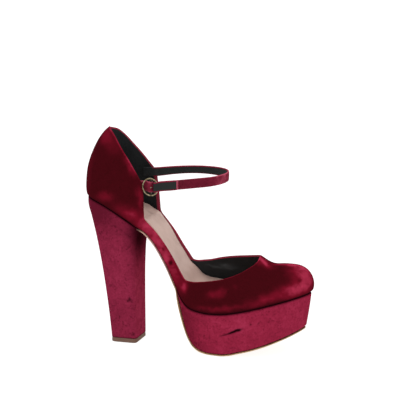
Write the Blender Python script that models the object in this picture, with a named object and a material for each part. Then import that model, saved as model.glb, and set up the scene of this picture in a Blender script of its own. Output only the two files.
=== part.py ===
"""Right-foot platform pump: hollow velvet upper, footbed, platform, outsole, block heel, lift and ankle strap.

Working axes while modelling, in millimetres: x runs from the back of the heel to the toe, y to the inner
(medial) side of the foot, z up from the floor. The finished pieces are moved so that the middle of the
whole shoe's plan box stands over the origin.
"""

import math

import bmesh
import bpy
import numpy as np

# Driving dimensions, in millimetres unless a name says otherwise
MM = 0.001
WALL = 1.7
GAP = 0.3
VAMP_START_X = 104.0
VAMP_FULL_X = 138.0
SNAP = 0.04
OUTER_FRONT_X = 64.0
INNER_FRONT_X = 64.2
BAND_LINE = 13.0
BULGE_HEIGHT = 9.0
INSOLE_CLEAR = 1.0
EDGE_INSET = 0.6
OUTSOLE_THICK = 1.3
OUTSOLE_INSET = 0.5
OUTSOLE_TAPER = 5.0
OUTSOLE_TAPER_X = (90.0, 106.0)
OUTSOLE_CLEAR = 0.7
OUTSOLE_UNDER = 1.5
PLATFORM_START_X = 94.7
PLATFORM_TAPER = 4.4
PLATFORM_CURVE = 1.3
PLATFORM_LEAST = 0.8
HEEL_SEAT_END_X = 56.0
HEEL_LEVELS = (0.0, 0.06, 0.12, 0.2, 0.3, 0.42, 0.56, 0.7, 0.85, 1.0)
LIFT_THICK = 4.0
SEAT_BLEND = 0.12
STRAP_WIDTH = 9.0
STRAP_THICK = 1.4
TAB_WIDTH = 9.4
TAB_THICK = 1.2
RING_CENTRE = (71.0, -26.2, 152.0)
RING_RADIUS = 7.8
RING_WIRE = 0.7
RING_TURN_DEG = -10.0
BAR_RADIUS = 0.6
BAR_INSET = 1.2
PRONG_RADIUS = 0.55
SLOT_HEIGHT = 1.9
SLOT_BACK = 0.5
SLOT_FRONT = 4.0
SLOT_OUT = 4.0
SLOT_IN = 0.9

# Prong's middle line in the ring's own frame: forward of the bar, and toward the ankle
PRONG_COLUMNS = ("along", "inward")
PRONG = (
    (0.0, 1.2),
    (1.3, 0.0),
    (1.8, -1.5),
    (1.9, -2.8),
)

# Footbed line in side view: where the upper and insole meet what carries them
FOOTBED_COLUMNS = ("x", "z")
FOOTBED = (
    (-2.0, 138.6),
    (1.5, 137.8),
    (18.6, 133.6),
    (30.0, 128.6),
    (40.0, 122.9),
    (50.0, 117.0),
    (57.0, 112.6),
    (63.0, 109.4),
    (68.4, 104.4),
    (74.0, 97.4),
    (80.9, 86.2),
    (87.8, 73.4),
    (93.8, 61.2),
    (99.8, 50.4),
    (107.4, 43.2),
    (116.0, 40.8),
    (128.0, 40.0),
    (140.0, 40.6),
    (154.0, 42.8),
    (170.0, 46.4),
    (186.0, 50.2),
    (200.0, 53.4),
    (210.0, 55.4),
    (219.0, 57.0),
)

# Underside of the outsole in side view, flat between the two rows at floor height
SOLE_COLUMNS = ("x", "z")
SOLE = (
    (94.2, 56.6),
    (95.2, 48.4),
    (97.2, 38.5),
    (101.3, 23.5),
    (106.0, 11.6),
    (111.7, 4.6),
    (119.4, 1.0),
    (128.0, 0.0),
    (138.0, 0.0),
    (147.0, 1.1),
    (156.0, 3.4),
    (166.0, 5.9),
    (176.0, 8.9),
    (187.0, 12.8),
    (200.0, 17.9),
    (208.0, 21.3),
    (214.0, 24.0),
    (219.0, 26.3),
)

# Stations round the feather edge, heel back to toe tip: plan points on both sides, then the rib above them
STATION_COLUMNS = ("x", "outer_y", "inner_y", "spine_x", "spine_y", "rise", "fullness", "bulge")
STATIONS = (
    (1.5, 0.0, 0.0, 40.0, 0.0, 69.6, 0.88, 1.2),
    (3.4, -9.0, 9.0, 43.5, 0.0, 71.4, 0.89, 1.2),
    (8.6, -16.6, 16.6, 50.0, 0.0, 77.0, 0.91, 1.4),
    (17.5, -22.2, 22.2, 56.0, 0.0, 88.6, 0.94, 1.7),
    (30.0, -25.0, 25.0, 52.0, 0.0, 101.0, 1.00, 2.0),
    (45.0, -25.6, 25.6, 43.0, 0.0, 110.0, 1.00, 1.6),
    (56.0, -25.2, 25.0, 38.0, 0.0, 110.0, 1.00, 1.2),
    (63.0, -24.8, 23.8, 38.0, 0.0, 108.0, 1.00, 0.9),
    (75.0, -24.0, 21.2, 66.0, 0.0, 100.0, 1.00, 0.5),
    (90.0, -25.2, 21.2, 98.0, 0.0, 84.0, 1.00, 0.5),
    (105.0, -30.6, 28.6, 123.0, 1.0, 64.0, 1.00, 1.0),
    (122.0, -36.4, 37.2, 142.0, 2.5, 56.0, 1.04, 1.8),
    (140.0, -39.2, 41.2, 157.5, 3.5, 50.5, 1.06, 2.2),
    (158.0, -38.6, 41.6, 168.0, 4.5, 43.4, 1.02, 2.4),
    (175.0, -34.4, 39.2, 175.5, 5.0, 33.0, 0.88, 2.4),
    (190.0, -27.2, 34.0, 182.5, 5.5, 29.0, 0.78, 2.4),
    (202.0, -18.2, 27.4, 187.6, 5.8, 26.8, 0.72, 2.3),
    (210.0, -8.4, 19.8, 190.6, 6.0, 25.6, 0.69, 2.1),
    (214.0, -0.6, 12.6, 192.2, 6.0, 25.0, 0.67, 2.0),
    (215.2, 6.0, 6.0, 192.8, 6.0, 24.8, 0.67, 2.0),
)

# Collar of the counter in side view, on each side
COLLAR_COLUMNS = ("x", "outer_z", "inner_z")
COLLAR = (
    (-5.0, 202.2, 202.2),
    (20.0, 202.2, 202.2),
    (24.0, 201.8, 199.8),
    (28.0, 199.8, 195.8),
    (33.0, 195.8, 190.6),
    (38.0, 189.6, 184.8),
    (43.0, 182.5, 179.5),
    (48.0, 175.4, 174.0),
    (53.0, 167.5, 168.4),
    (57.0, 161.0, 164.0),
    (61.0, 154.2, 159.4),
    (63.4, 149.0, 154.0),
    (66.4, 129.0, 134.0),
)

# Top edge in side view from the counter along the waist band to the throat
EDGE_COLUMNS = ("x", "outer_z", "inner_z")
EDGE = (
    (58.0, 127.0, 126.8),
    (61.5, 123.2, 122.2),
    (66.0, 119.0, 118.0),
    (72.0, 113.0, 112.0),
    (80.0, 103.4, 102.6),
    (87.0, 93.8, 91.6),
    (93.0, 84.6, 82.0),
    (97.5, 77.6, 75.4),
    (101.0, 72.2, 74.8),
    (104.0, 68.4, 75.0),
    (107.0, 67.2, 75.4),
    (112.0, 66.9, 76.0),
    (123.0, 68.2, 78.6),
    (136.0, 70.4, 81.0),
    (148.0, 73.6, 82.8),
    (157.0, 77.4, 84.2),
    (162.0, 80.2, 85.4),
    (165.2, 82.4, 86.2),
    (167.4, 84.6, 86.6),
)

# Throat seen from above: distance out from the spine and how far forward the opening reaches there
THROAT_COLUMNS = ("out", "x")
THROAT = (
    (0.0, 167.4),
    (5.0, 167.6),
    (9.0, 167.5),
    (13.0, 167.1),
    (17.0, 165.7),
    (20.0, 164.1),
    (23.5, 161.5),
    (28.0, 156.4),
    (31.0, 150.2),
    (33.4, 141.0),
    (36.0, 128.0),
    (60.0, 60.0),
)

# Heel below its seat: fraction of the way down, back edge, breast, half width, squareness of the back
HEEL_COLUMNS = ("down", "back_x", "breast_x", "half_y", "square")
HEEL = (
    (0.00, 1.5, 56.0, 25.0, 2.2),
    (0.06, 3.3, 55.3, 23.7, 2.3),
    (0.14, 6.1, 54.5, 22.0, 2.4),
    (0.27, 10.7, 53.6, 19.8, 2.8),
    (0.48, 16.5, 52.8, 17.4, 3.4),
    (0.70, 21.4, 52.4, 16.2, 4.2),
    (0.88, 24.7, 52.3, 15.5, 5.0),
    (1.00, 26.5, 52.3, 15.3, 5.4),
)

# Footbed board: thickness across its slope, thickest over the forefoot
INSOLE_COLUMNS = ("x", "thick")
INSOLE = (
    (0.0, 4.5),
    (30.0, 5.0),
    (46.0, 7.6),
    (58.0, 9.8),
    (71.5, 8.5),
    (84.0, 7.5),
    (94.0, 8.4),
    (103.0, 13.6),
    (112.0, 16.4),
    (126.0, 15.2),
    (160.0, 13.0),
    (219.0, 9.0),
)

# Ankle strap, middle of the band: inner end, round the front, along the outer side, fold in the ring, tail
STRAP_COLUMNS = ("x", "y", "z", "lean_deg")
STRAP = (
    (49.0, 19.9, 157.4, 7.0),
    (55.0, 18.9, 157.8, 8.0),
    (60.6, 18.0, 158.2, 10.0),
    (67.0, 19.2, 158.8, 14.0),
    (74.2, 22.6, 159.4, 20.0),
    (85.2, 26.0, 160.2, 26.0),
    (99.2, 27.8, 160.8, 27.0),
    (113.2, 25.8, 161.0, 22.0),
    (125.2, 19.8, 161.0, 12.0),
    (133.2, 11.0, 160.9, 2.0),
    (136.6, 0.0, 160.6, -3.0),
    (134.4, -11.6, 160.0, -4.0),
    (127.2, -21.4, 159.2, -2.0),
    (116.2, -27.8, 158.4, 0.0),
    (104.2, -30.2, 157.0, 0.0),
    (93.2, -28.9, 155.4, 0.0),
    (84.2, -27.1, 154.1, 0.0),
    (79.2, -25.8, 153.1, 0.0),
    (76.8, -25.6, 152.4, 0.0),
    (75.0, -27.5, 152.2, 0.0),
    (76.8, -29.4, 152.4, 0.0),
    (79.2, -29.6, 153.1, 0.0),
    (84.2, -30.0, 154.1, 0.0),
    (91.2, -31.2, 155.1, 0.0),
    (98.7, -32.4, 156.4, 0.0),
)

# Buckle tab, middle of the band: end inside the counter, outer layer, fold round the bar, short return
TAB_COLUMNS = ("x", "y", "z", "lean_deg")
TAB = (
    (53.0, -20.3, 151.0, 6.0),
    (58.4, -19.4, 151.4, 6.0),
    (62.6, -18.9, 151.7, 5.0),
    (65.8, -20.9, 151.9, 3.0),
    (68.3, -24.3, 152.0, 1.0),
    (70.8, -26.6, 152.0, 0.0),
    (72.8, -25.0, 152.0, 0.0),
    (71.0, -23.35, 152.0, 0.0),
    (68.4, -21.7, 152.0, 2.0),
)

# Finishes: red, green, blue, roughness, metal
FINISH_COLUMNS = ("red", "green", "blue", "roughness", "metal")
FINISHES = {
    "upper": (0.115, 0.008, 0.022, 0.85, 0.0),
    "insole": (0.52, 0.36, 0.29, 0.55, 0.0),
    "platform": (0.200, 0.016, 0.045, 0.85, 0.0),
    "outsole": (0.46, 0.30, 0.19, 0.60, 0.0),
    "heel": (0.200, 0.016, 0.045, 0.85, 0.0),
    "heel_lift": (0.18, 0.11, 0.075, 0.70, 0.0),
    "ankle_strap": (0.115, 0.008, 0.022, 0.85, 0.0),
    "buckle": (0.30, 0.24, 0.15, 0.35, 1.0),
    "buckle_tab": (0.115, 0.008, 0.022, 0.85, 0.0),
}


def columns(names, rows):
    """The table's rows as one array for each named column."""
    return dict(zip(names, np.array(rows, float).T))


def natural_spline(knots, values, at):
    """Cubic spline through the knots, straight at both ends."""
    count = len(knots)
    step = np.diff(knots)
    matrix = np.eye(count)
    right = np.zeros(count)
    for i in range(1, count - 1):
        matrix[i, i - 1 : i + 2] = step[i - 1], 2 * (step[i - 1] + step[i]), step[i]
        rise_after = (values[i + 1] - values[i]) / step[i]
        rise_before = (values[i] - values[i - 1]) / step[i - 1]
        right[i] = 6 * (rise_after - rise_before)
    bend = np.linalg.solve(matrix, right)
    at = np.clip(np.asarray(at, float), knots[0], knots[-1])
    i = np.clip(np.searchsorted(knots, at) - 1, 0, count - 2)
    a = (knots[i + 1] - at) / step[i]
    b = 1 - a
    curve = ((a**3 - a) * bend[i] + (b**3 - b) * bend[i + 1]) * step[i] ** 2 / 6
    return a * values[i] + b * values[i + 1] + curve


def monotone(knots, values, at):
    """Cubic through the knots that never swings past them, so level runs stay level."""
    step = np.diff(knots)
    slope = np.diff(values) / step
    tangent = np.zeros(len(knots))
    tangent[0] = slope[0]
    tangent[-1] = slope[-1]
    for i in range(1, len(knots) - 1):
        if slope[i - 1] * slope[i] > 0:
            w1 = 2 * step[i] + step[i - 1]
            w2 = step[i] + 2 * step[i - 1]
            tangent[i] = (w1 + w2) / (w1 / slope[i - 1] + w2 / slope[i])
    at = np.clip(np.asarray(at, float), knots[0], knots[-1])
    i = np.clip(np.searchsorted(knots, at) - 1, 0, len(knots) - 2)
    h = step[i]
    t = (at - knots[i]) / h
    start = (2 * t**3 - 3 * t**2 + 1) * values[i] + (t**3 - 2 * t**2 + t) * h * tangent[i]
    end = (3 * t**2 - 2 * t**3) * values[i + 1] + (t**3 - t**2) * h * tangent[i + 1]
    return start + end


footbed_table = columns(FOOTBED_COLUMNS, FOOTBED)
sole_table = columns(SOLE_COLUMNS, SOLE)
station = columns(STATION_COLUMNS, STATIONS)
collar_table = columns(COLLAR_COLUMNS, COLLAR)
edge_table = columns(EDGE_COLUMNS, EDGE)
heel_table = columns(HEEL_COLUMNS, HEEL)
insole_table = columns(INSOLE_COLUMNS, INSOLE)
throat_table = columns(THROAT_COLUMNS, THROAT)


def footbed(x):
    """Height of the footbed line at x."""
    return natural_spline(footbed_table["x"], footbed_table["z"], x)


def slope_cosine(line, x):
    """Cosine of a side-view line's slope at x, to turn a thickness across it into a height."""
    rise = (line(x + 0.25) - line(x - 0.25)) / 0.5
    return 1 / np.sqrt(1 + rise**2)


def sole(x):
    """Height of the outsole's underside at x: a thin layer under the waist, then the platform's own line."""
    waist = footbed(x) - (GAP + OUTSOLE_THICK) / slope_cosine(footbed, x)
    return np.where(np.asarray(x) < sole_table["x"][0], waist, monotone(sole_table["x"], sole_table["z"], x))


# Distance along the feather edge at each station, averaged over both sides
_outer_step = np.hypot(np.diff(station["x"]), np.diff(station["outer_y"]))
_inner_step = np.hypot(np.diff(station["x"]), np.diff(station["inner_y"]))
STATION_S = np.concatenate([[0.0], np.cumsum((_outer_step + _inner_step) / 2)])
TOTAL_S = STATION_S[-1]
GHOSTS = 4


def loop_spline(here, there, at):
    """Spline along one side of a closed loop: the other side's rows carry it past the heel back and the toe tip."""
    before = slice(GHOSTS, 0, -1)
    after = slice(-2, -2 - GHOSTS, -1)
    knots = np.concatenate([-STATION_S[before], STATION_S, 2 * TOTAL_S - STATION_S[after]])
    values = np.concatenate([there[before], here, there[after]])
    return natural_spline(knots, values, at)


def plan_point(side, s):
    """Plan point of the feather edge, side being 'outer' or 'inner'."""
    other = "inner" if side == "outer" else "outer"
    x = loop_spline(station["x"], station["x"], s)
    y = loop_spline(station[side + "_y"], station[other + "_y"], s)
    return x, y


def plan_outward(side, s):
    """Unit plan direction pointing out of the shoe at s."""
    x0, y0 = plan_point(side, s - 0.2)
    x1, y1 = plan_point(side, s + 0.2)
    tangent = np.array([x1 - x0, y1 - y0])
    tangent = tangent / np.hypot(*tangent)
    turn = 1 if side == "outer" else -1
    return np.array([tangent[1], -tangent[0]]) * turn


def inset_point(side, s, inset):
    """Plan point moved in from the feather edge."""
    x, y = plan_point(side, s)
    out = plan_outward(side, s)
    return x - out[0] * inset, y - out[1] * inset


def of_station(name, s):
    """One of the values that both sides share, at s."""
    return loop_spline(station[name], station[name], s)


def s_where(column, wanted):
    """Distance along the feather edge where a shared, growing value reaches what is wanted."""
    low, high = 20.0, TOTAL_S
    for _ in range(60):
        middle = (low + high) / 2
        if of_station(column, middle) < wanted:
            low = middle
        else:
            high = middle
    return (low + high) / 2


def rib_point(side, s, angle):
    """Point of the upper's outside on the rib over s: angle 0 at the feather edge, a quarter turn on the spine."""
    x, y = plan_point(side, s)
    fullness = of_station("fullness", s)
    across = 1 - max(math.cos(angle), 0.0) ** fullness
    up = of_station("rise", s) * math.sin(angle) ** fullness
    swell = up / BULGE_HEIGHT
    swell = of_station("bulge", s) * swell * math.exp(1 - swell) * max(math.cos(angle), 0.0)
    out = plan_outward(side, s)
    return np.array(
        [
            x + (of_station("spine_x", s) - x) * across + out[0] * swell,
            y + (of_station("spine_y", s) - y) * across + out[1] * swell,
            footbed(x) + GAP / 2 + up,
        ]
    )


def first_angle(side, s, is_past, first=0.02):
    """Smallest angle at which the rib over s is past an edge; a quarter turn where it never is."""
    quarter = math.pi / 2
    last = first
    for angle in np.linspace(first, quarter, 120):
        if is_past(rib_point(side, s, angle)):
            low, high = last, angle
            for _ in range(30):
                middle = (low + high) / 2
                if is_past(rib_point(side, s, middle)):
                    high = middle
                else:
                    low = middle
            return (low + high) / 2
        last = angle
    return quarter


def edge_margin(side, s, point):
    """How far inside the top edge of the band and vamp a point lies; negative in the throat and above the edge."""
    below = monotone(edge_table["x"], edge_table[side + "_z"], point[0]) - point[2]
    out = abs(point[1] - of_station("spine_y", s))
    ahead = point[0] - monotone(throat_table["out"], throat_table["x"], out)
    return max(below, ahead)


def top_angle(side, s):
    """Angle of the upper's top edge along the waist band and the vamp's side."""
    return first_angle(side, s, lambda point: edge_margin(side, s, point) <= 0)


def collar_angle(side, s):
    """Angle of the collar on the counter."""

    def is_past(point):
        return point[2] >= monotone(collar_table["x"], collar_table[side + "_z"], point[0])

    return first_angle(side, s, is_past)


def band_angle(side, s, front_s):
    """Angle of the line between the low band and the counter above it."""
    at_front = rib_point(side, front_s, top_angle(side, front_s))[2]
    front_height = at_front - footbed(plan_point(side, front_s)[0])
    share = min(max(s / front_s, 0.0), 1.0)
    height = BAND_LINE + (front_height - BAND_LINE) * share**3
    foot = footbed(plan_point(side, s)[0])
    return first_angle(side, s, lambda point: point[2] >= foot + height)


def vamp_angle(side, s):
    """Angle that the vamp's ribs are carried to before the throat is trimmed: the edge at first, then the spine."""
    share = (plan_point(side, s)[0] - VAMP_START_X) / (VAMP_FULL_X - VAMP_START_X)
    if share <= 0:
        return top_angle(side, s)
    share = min(share, 1.0)
    share = share * share * (3 - 2 * share)
    start = top_angle(side, s_where("x", VAMP_START_X))
    return start + (math.pi / 2 - start) * share


def weld(points, faces):
    """Points that coincide made one; faces that collapse are dropped."""
    keys = {}
    first = []
    index = []
    for point in points:
        key = tuple(np.round(point, 4))
        if key not in keys:
            keys[key] = len(first)
            first.append(point)
        index.append(keys[key])
    kept = []
    for face in faces:
        ring = [index[i] for i in face]
        ring = [corner for i, corner in enumerate(ring) if corner != ring[i - 1]]
        if len(ring) >= 3:
            kept.append(ring)
    return np.array(first), kept, index


def boundary_edges(faces):
    """Directed edges that only one face uses."""
    used = {}
    for face in faces:
        for i, corner in enumerate(face):
            edge = (face[i - 1], corner)
            used[frozenset(edge)] = None if frozenset(edge) in used else edge
    return [edge for edge in used.values() if edge]


def between(sheets, faces):
    """Closed solid from sheets that share one face list: the first and last are faced, their rims joined level by level."""
    count = len(sheets[0])
    solid = [list(face) for face in faces]
    offset = count * (len(sheets) - 1)
    solid += [[offset + corner for corner in reversed(face)] for face in faces]
    for level in range(len(sheets) - 1):
        low = level * count
        high = low + count
        for a, b in boundary_edges(faces):
            solid.append([low + b, low + a, high + a, high + b])
    return np.concatenate(sheets), solid


def face_normals(points, faces):
    """Unit normal at each point, averaged over the faces round it."""
    normals = np.zeros_like(points)
    for face in faces:
        corners = points[face]
        spread = np.zeros(3)
        for i in range(len(face)):
            spread += np.cross(corners[i - 1], corners[i])
        normals[face] += spread
    length = np.linalg.norm(normals, axis=1, keepdims=True)
    return normals / np.maximum(length, 1e-12)


def grid_faces(rows, across, closed=False):
    """Quads of a grid stored row after row."""
    faces = []
    for i in range(rows if closed else rows - 1):
        after = (i + 1) % rows
        for k in range(across - 1):
            faces.append([i * across + k, after * across + k, after * across + k + 1, i * across + k + 1])
    return faces


SOLIDS = {}


def add_solid(name, points, faces):
    """Keeps a finished piece, in millimetres, until the whole shoe is placed."""
    points, faces, _ = weld(points, faces)
    SOLIDS[name] = (points, faces)


def trimmed(points, faces, spots, margins):
    """Cuts the faces along the line where the margin is zero, so that the edge runs smoothly through the grid."""
    points = [np.array(point) for point in points]
    cuts = {}

    def cut_between(inside, outside):
        if (inside, outside) not in cuts:
            side, s0, angle0 = spots[inside]
            _, s1, angle1 = spots[outside]
            low, high = 0.0, 1.0
            for _ in range(24):
                share = (low + high) / 2
                s = s0 + (s1 - s0) * share
                if edge_margin(side, s, rib_point(side, s, angle0 + (angle1 - angle0) * share)) > 0:
                    low = share
                else:
                    high = share
            if low < SNAP:
                cuts[inside, outside] = inside
            elif low > 1 - SNAP:
                cuts[inside, outside] = outside
            else:
                points.append(rib_point(side, s0 + (s1 - s0) * low, angle0 + (angle1 - angle0) * low))
                cuts[inside, outside] = len(points) - 1
        return cuts[inside, outside]

    kept = []
    for face in faces:
        ring = []
        for i, corner in enumerate(face):
            before = face[i - 1]
            if (margins[before] < 0) != (margins[corner] < 0):
                pair = (corner, before) if margins[before] < 0 else (before, corner)
                ring.append(cut_between(*pair))
            if margins[corner] >= 0:
                ring.append(corner)
        ring = [corner for i, corner in enumerate(ring) if corner != ring[i - 1]]
        if len(ring) >= 3:
            kept.append(ring)
    return np.array(points), kept


def upper_sheet(counter_columns, waist_columns, vamp_columns, low_rows, collar_rows):
    """Outside of the upper as welded points and faces."""
    front = {"outer": s_where("x", OUTER_FRONT_X), "inner": s_where("x", INNER_FRONT_X)}
    vamp_s = s_where("x", VAMP_START_X)
    last = counter_columns + waist_columns + vamp_columns
    loop = [("outer", i) for i in range(last + 1)]
    loop += [("inner", i) for i in range(last - 1, 0, -1)]
    spots = []
    margins = []
    points = []
    for side, i in loop:
        front_s = front[side]
        s_values = np.concatenate(
            [
                np.linspace(0, front_s, counter_columns + 1)[:-1],
                np.linspace(front_s, vamp_s, waist_columns + 1)[:-1],
                np.linspace(vamp_s, TOTAL_S, vamp_columns + 1),
            ]
        )
        s = s_values[i]
        if i <= counter_columns:
            low = band_angle(side, s, front_s)
            high = collar_angle(side, s)
        else:
            low = vamp_angle(side, s)
            high = low
        angles = [low * share**1.15 for share in np.linspace(0, 1, low_rows + 1)]
        angles += [low + (high - low) * share for share in np.linspace(0, 1, collar_rows + 1)[1:]]
        for angle in angles:
            point = rib_point(side, s, angle)
            points.append(point)
            spots.append((side, s, angle))
            margins.append(1.0 if i <= counter_columns + waist_columns else edge_margin(side, s, point))
    across = low_rows + collar_rows + 1
    faces = []
    for j in range(len(loop)):
        after = (j + 1) % len(loop)
        in_counter = max(loop[j][1], loop[after][1]) <= counter_columns
        for k in range(low_rows + (collar_rows if in_counter else 0)):
            faces.append([j * across + k, after * across + k, after * across + k + 1, j * across + k + 1])
    points, faces = trimmed(points, faces, spots, margins)
    points, faces, _ = weld(points, faces)
    used = sorted({corner for face in faces for corner in face})
    place = {corner: i for i, corner in enumerate(used)}
    return points[used], [[place[corner] for corner in face] for face in faces]


def build_upper():
    """Hollow upper of even wall thickness, open at the collar, the throat, the waist and underneath."""
    outside, faces = upper_sheet(14, 12, 28, 9, 6)
    normals = face_normals(outside, faces)
    centre = outside.mean(axis=0)
    if np.sum(normals * (outside - centre)) < 0:
        normals = -normals
    inside = outside - normals * WALL
    add_solid("upper", *between([outside, inside], faces))


def strip(s_values, inset, across):
    """Plan grid between the two sides of the feather edge, inset from it: one row for each s."""
    grid = []
    for s in s_values:
        outer = np.array(inset_point("outer", s, inset))
        inner = np.array(inset_point("inner", s, inset))
        for share in np.linspace(0, 1, across):
            grid.append(outer + (inner - outer) * share)
    return np.array(grid)


def build_insole():
    """Footbed board lying inside the upper, thinner toward its rims' ends."""
    across = 5
    s_values = np.linspace(0, TOTAL_S, 54)
    plan = strip(s_values, WALL + INSOLE_CLEAR, across)
    x = plan[:, 0]
    base = footbed(x) + GAP / 2
    thick = monotone(insole_table["x"], insole_table["thick"], x) / slope_cosine(footbed, x)
    bottom = np.column_stack([plan, base])
    top = np.column_stack([plan, base + thick])
    add_solid("insole", *between([top, bottom], grid_faces(len(s_values), across)))


def build_platform():
    """Forefoot block between the footbed line and the outsole, a thin wedge at its back."""
    across = 5
    start_s = s_where("x", PLATFORM_START_X)
    share = np.linspace(0, 1, 40)
    s_values = start_s + (TOTAL_S - start_s) * (0.75 * share + 0.25 * share**2)
    levels = np.linspace(0, 1, 5)
    sheets = []
    for level in levels:
        inset = EDGE_INSET + PLATFORM_TAPER * level**PLATFORM_CURVE
        plan = strip(s_values, inset, across)
        x = plan[:, 0]
        top = footbed(x) - GAP / 2
        lift = (OUTSOLE_THICK + GAP) / slope_cosine(sole, x)
        bottom = np.minimum(sole(x) + lift, top - PLATFORM_LEAST)
        sheets.append(np.column_stack([plan, top + (bottom - top) * level]))
    add_solid("platform", *between(sheets, grid_faces(len(s_values), across)))


def sole_inset(x):
    """How far the outsole's edge stands in from the feather edge: flush at the waist, tapered under the platform."""
    start, end = OUTSOLE_TAPER_X
    share = np.clip((x - start) / (end - start), 0, 1)
    return OUTSOLE_INSET + OUTSOLE_TAPER * share * share * (3 - 2 * share)


def build_outsole():
    """Thin sheet from the heel breast along the waist, down the platform's back and under it."""
    across = 5
    start_s = s_where("x", HEEL_SEAT_END_X + OUTSOLE_CLEAR)
    s_values = np.linspace(start_s, TOTAL_S, 70)
    grid = []
    for s in s_values:
        inset = float(sole_inset(plan_point("outer", s)[0]))
        outer = np.array(inset_point("outer", s, inset))
        inner = np.array(inset_point("inner", s, inset))
        for share in np.linspace(0, 1, across):
            grid.append(outer + (inner - outer) * share)
    plan = np.array(grid)
    x = plan[:, 0]
    low = sole(x)
    high = low + OUTSOLE_THICK / slope_cosine(sole, x)
    under = np.where(x > PLATFORM_START_X - 2, OUTSOLE_UNDER, 0.0)
    high = np.minimum(high, footbed(x) - GAP / 2 - under)
    add_solid(
        "outsole",
        *between([np.column_stack([plan, high]), np.column_stack([plan, low])], grid_faces(len(s_values), across)),
    )


def heel_section(down, xi, eta, seat_x, seat_y):
    """Plan point of the heel at one level: xi runs back to breast, eta from side to side."""
    row = {name: monotone(heel_table["down"], heel_table[name], down) for name in HEEL_COLUMNS}
    x = row["back_x"] + (row["breast_x"] - row["back_x"]) * xi
    near_back = np.clip(xi / 0.5, 0, 1)
    half = row["half_y"] * (1 - (1 - near_back) ** row["square"]) ** (1 / row["square"])
    square_y = half * eta
    blend = min(down / SEAT_BLEND, 1.0)
    blend = blend * blend * (3 - 2 * blend)
    return x * blend + seat_x * (1 - blend), square_y * blend + seat_y * (1 - blend)


def heel_seat(rows, across):
    """Plan grid of the heel's seat, with how far back to breast and side to side each point lies."""
    s_values = s_where("x", HEEL_SEAT_END_X) * np.linspace(0, 1, rows)
    seat = strip(s_values, EDGE_INSET, across)
    xi = (seat[:, 0] - seat[0, 0]) / (seat[-1, 0] - seat[0, 0])
    eta = np.tile(np.linspace(-1, 1, across), rows)
    return seat, xi, eta


def build_heel():
    """Block heel: sloping seat on the feather edge, morphing to a rounded rectangle at the lift."""
    rows, across = 20, 9
    seat, xi, eta = heel_seat(rows, across)
    seat_z = footbed(seat[:, 0]) - GAP / 2
    foot_z = LIFT_THICK + GAP
    sheets = []
    for down in HEEL_LEVELS:
        x, y = heel_section(down, xi, eta, seat[:, 0], seat[:, 1])
        sheets.append(np.column_stack([x, y, seat_z + (foot_z - seat_z) * down]))
    add_solid("heel", *between(sheets, grid_faces(rows, across)))


def build_heel_lift():
    """Top lift: the heel's lowest section carried down to the floor."""
    rows, across = 20, 9
    seat, xi, eta = heel_seat(rows, across)
    x, y = heel_section(1.0, xi, eta, seat[:, 0], seat[:, 1])
    sheets = [np.column_stack([x, y, np.full_like(x, height)]) for height in (LIFT_THICK, 0.0)]
    add_solid("heel_lift", *between(sheets, grid_faces(rows, across)))


def band_path(table, samples):
    """Middle line of a band from its rows, with its lean, sampled evenly along each stretch."""
    line = np.column_stack([table["x"], table["y"], table["z"]])
    step = np.linalg.norm(np.diff(line, axis=0), axis=1)
    knots = np.concatenate([[0], np.cumsum(np.sqrt(step))])
    at = []
    for i, length in enumerate(step):
        count = max(2, int(round(samples * math.sqrt(length))))
        at.extend(np.linspace(knots[i], knots[i + 1], count + 1)[:-1])
    at = np.array(at + [knots[-1]])
    path = np.column_stack([natural_spline(knots, table[name], at) for name in ("x", "y", "z")])
    return path, natural_spline(knots, table["lean_deg"], at)


def band_solid(path, lean_deg, width, thick):
    """Flat band swept along a path: its width stands up, leaning where the row says."""
    ahead = np.gradient(path, axis=0)
    ahead[:, 2] = 0
    ahead = ahead / np.linalg.norm(ahead, axis=1, keepdims=True)
    side = np.column_stack([ahead[:, 1], -ahead[:, 0], np.zeros(len(path))])
    lean = np.radians(lean_deg)[:, None]
    up = np.array([0.0, 0.0, 1.0]) * np.cos(lean) + side * np.sin(lean)
    across = np.cross(up, ahead)
    sheets = []
    for face in (0.5, -0.5):
        rows = [path + up * width * share + across * thick * face for share in (-0.5, 0.0, 0.5)]
        sheets.append(np.stack(rows, axis=1).reshape(-1, 3))
    return between(sheets, grid_faces(len(path), 3))


def build_ankle_strap():
    """Strap with its fold through the ring and its free tail."""
    path, lean = band_path(columns(STRAP_COLUMNS, STRAP), 1.5)
    add_solid("ankle_strap", *band_solid(path, lean, STRAP_WIDTH, STRAP_THICK))


def tube(path, radius, sides, closed):
    """Round bar along a path."""
    path = np.array(path, float)
    if closed:
        ahead = np.roll(path, -1, axis=0) - np.roll(path, 1, axis=0)
    else:
        ahead = np.gradient(path, axis=0)
    ahead = ahead / np.linalg.norm(ahead, axis=1, keepdims=True)
    turn = math.radians(RING_TURN_DEG)
    facing = np.array([math.sin(turn), -math.cos(turn), 0.0])
    points = []
    for centre, way in zip(path, ahead):
        side = np.cross(way, facing)
        side = side / np.linalg.norm(side)
        other = np.cross(way, side)
        for k in range(sides):
            angle = 2 * math.pi * k / sides
            points.append(centre + radius * (side * math.cos(angle) + other * math.sin(angle)))
    faces = []
    rows = len(path)
    for i in range(rows if closed else rows - 1):
        after = (i + 1) % rows
        for k in range(sides):
            nxt = (k + 1) % sides
            faces.append([i * sides + k, i * sides + nxt, after * sides + nxt, after * sides + k])
    if not closed:
        faces.append(list(range(sides)))
        faces.append([(rows - 1) * sides + k for k in reversed(range(sides))])
    return np.array(points), faces


def ring_point(along, up, inward):
    """Point in the ring's own frame: forward in its plane, up, and toward the ankle."""
    turn = math.radians(RING_TURN_DEG)
    forward = np.array([math.cos(turn), math.sin(turn), 0.0])
    toward = np.array([-math.sin(turn), math.cos(turn), 0.0])
    return np.array(RING_CENTRE) + forward * along + np.array([0.0, 0.0, up]) + toward * inward


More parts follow.
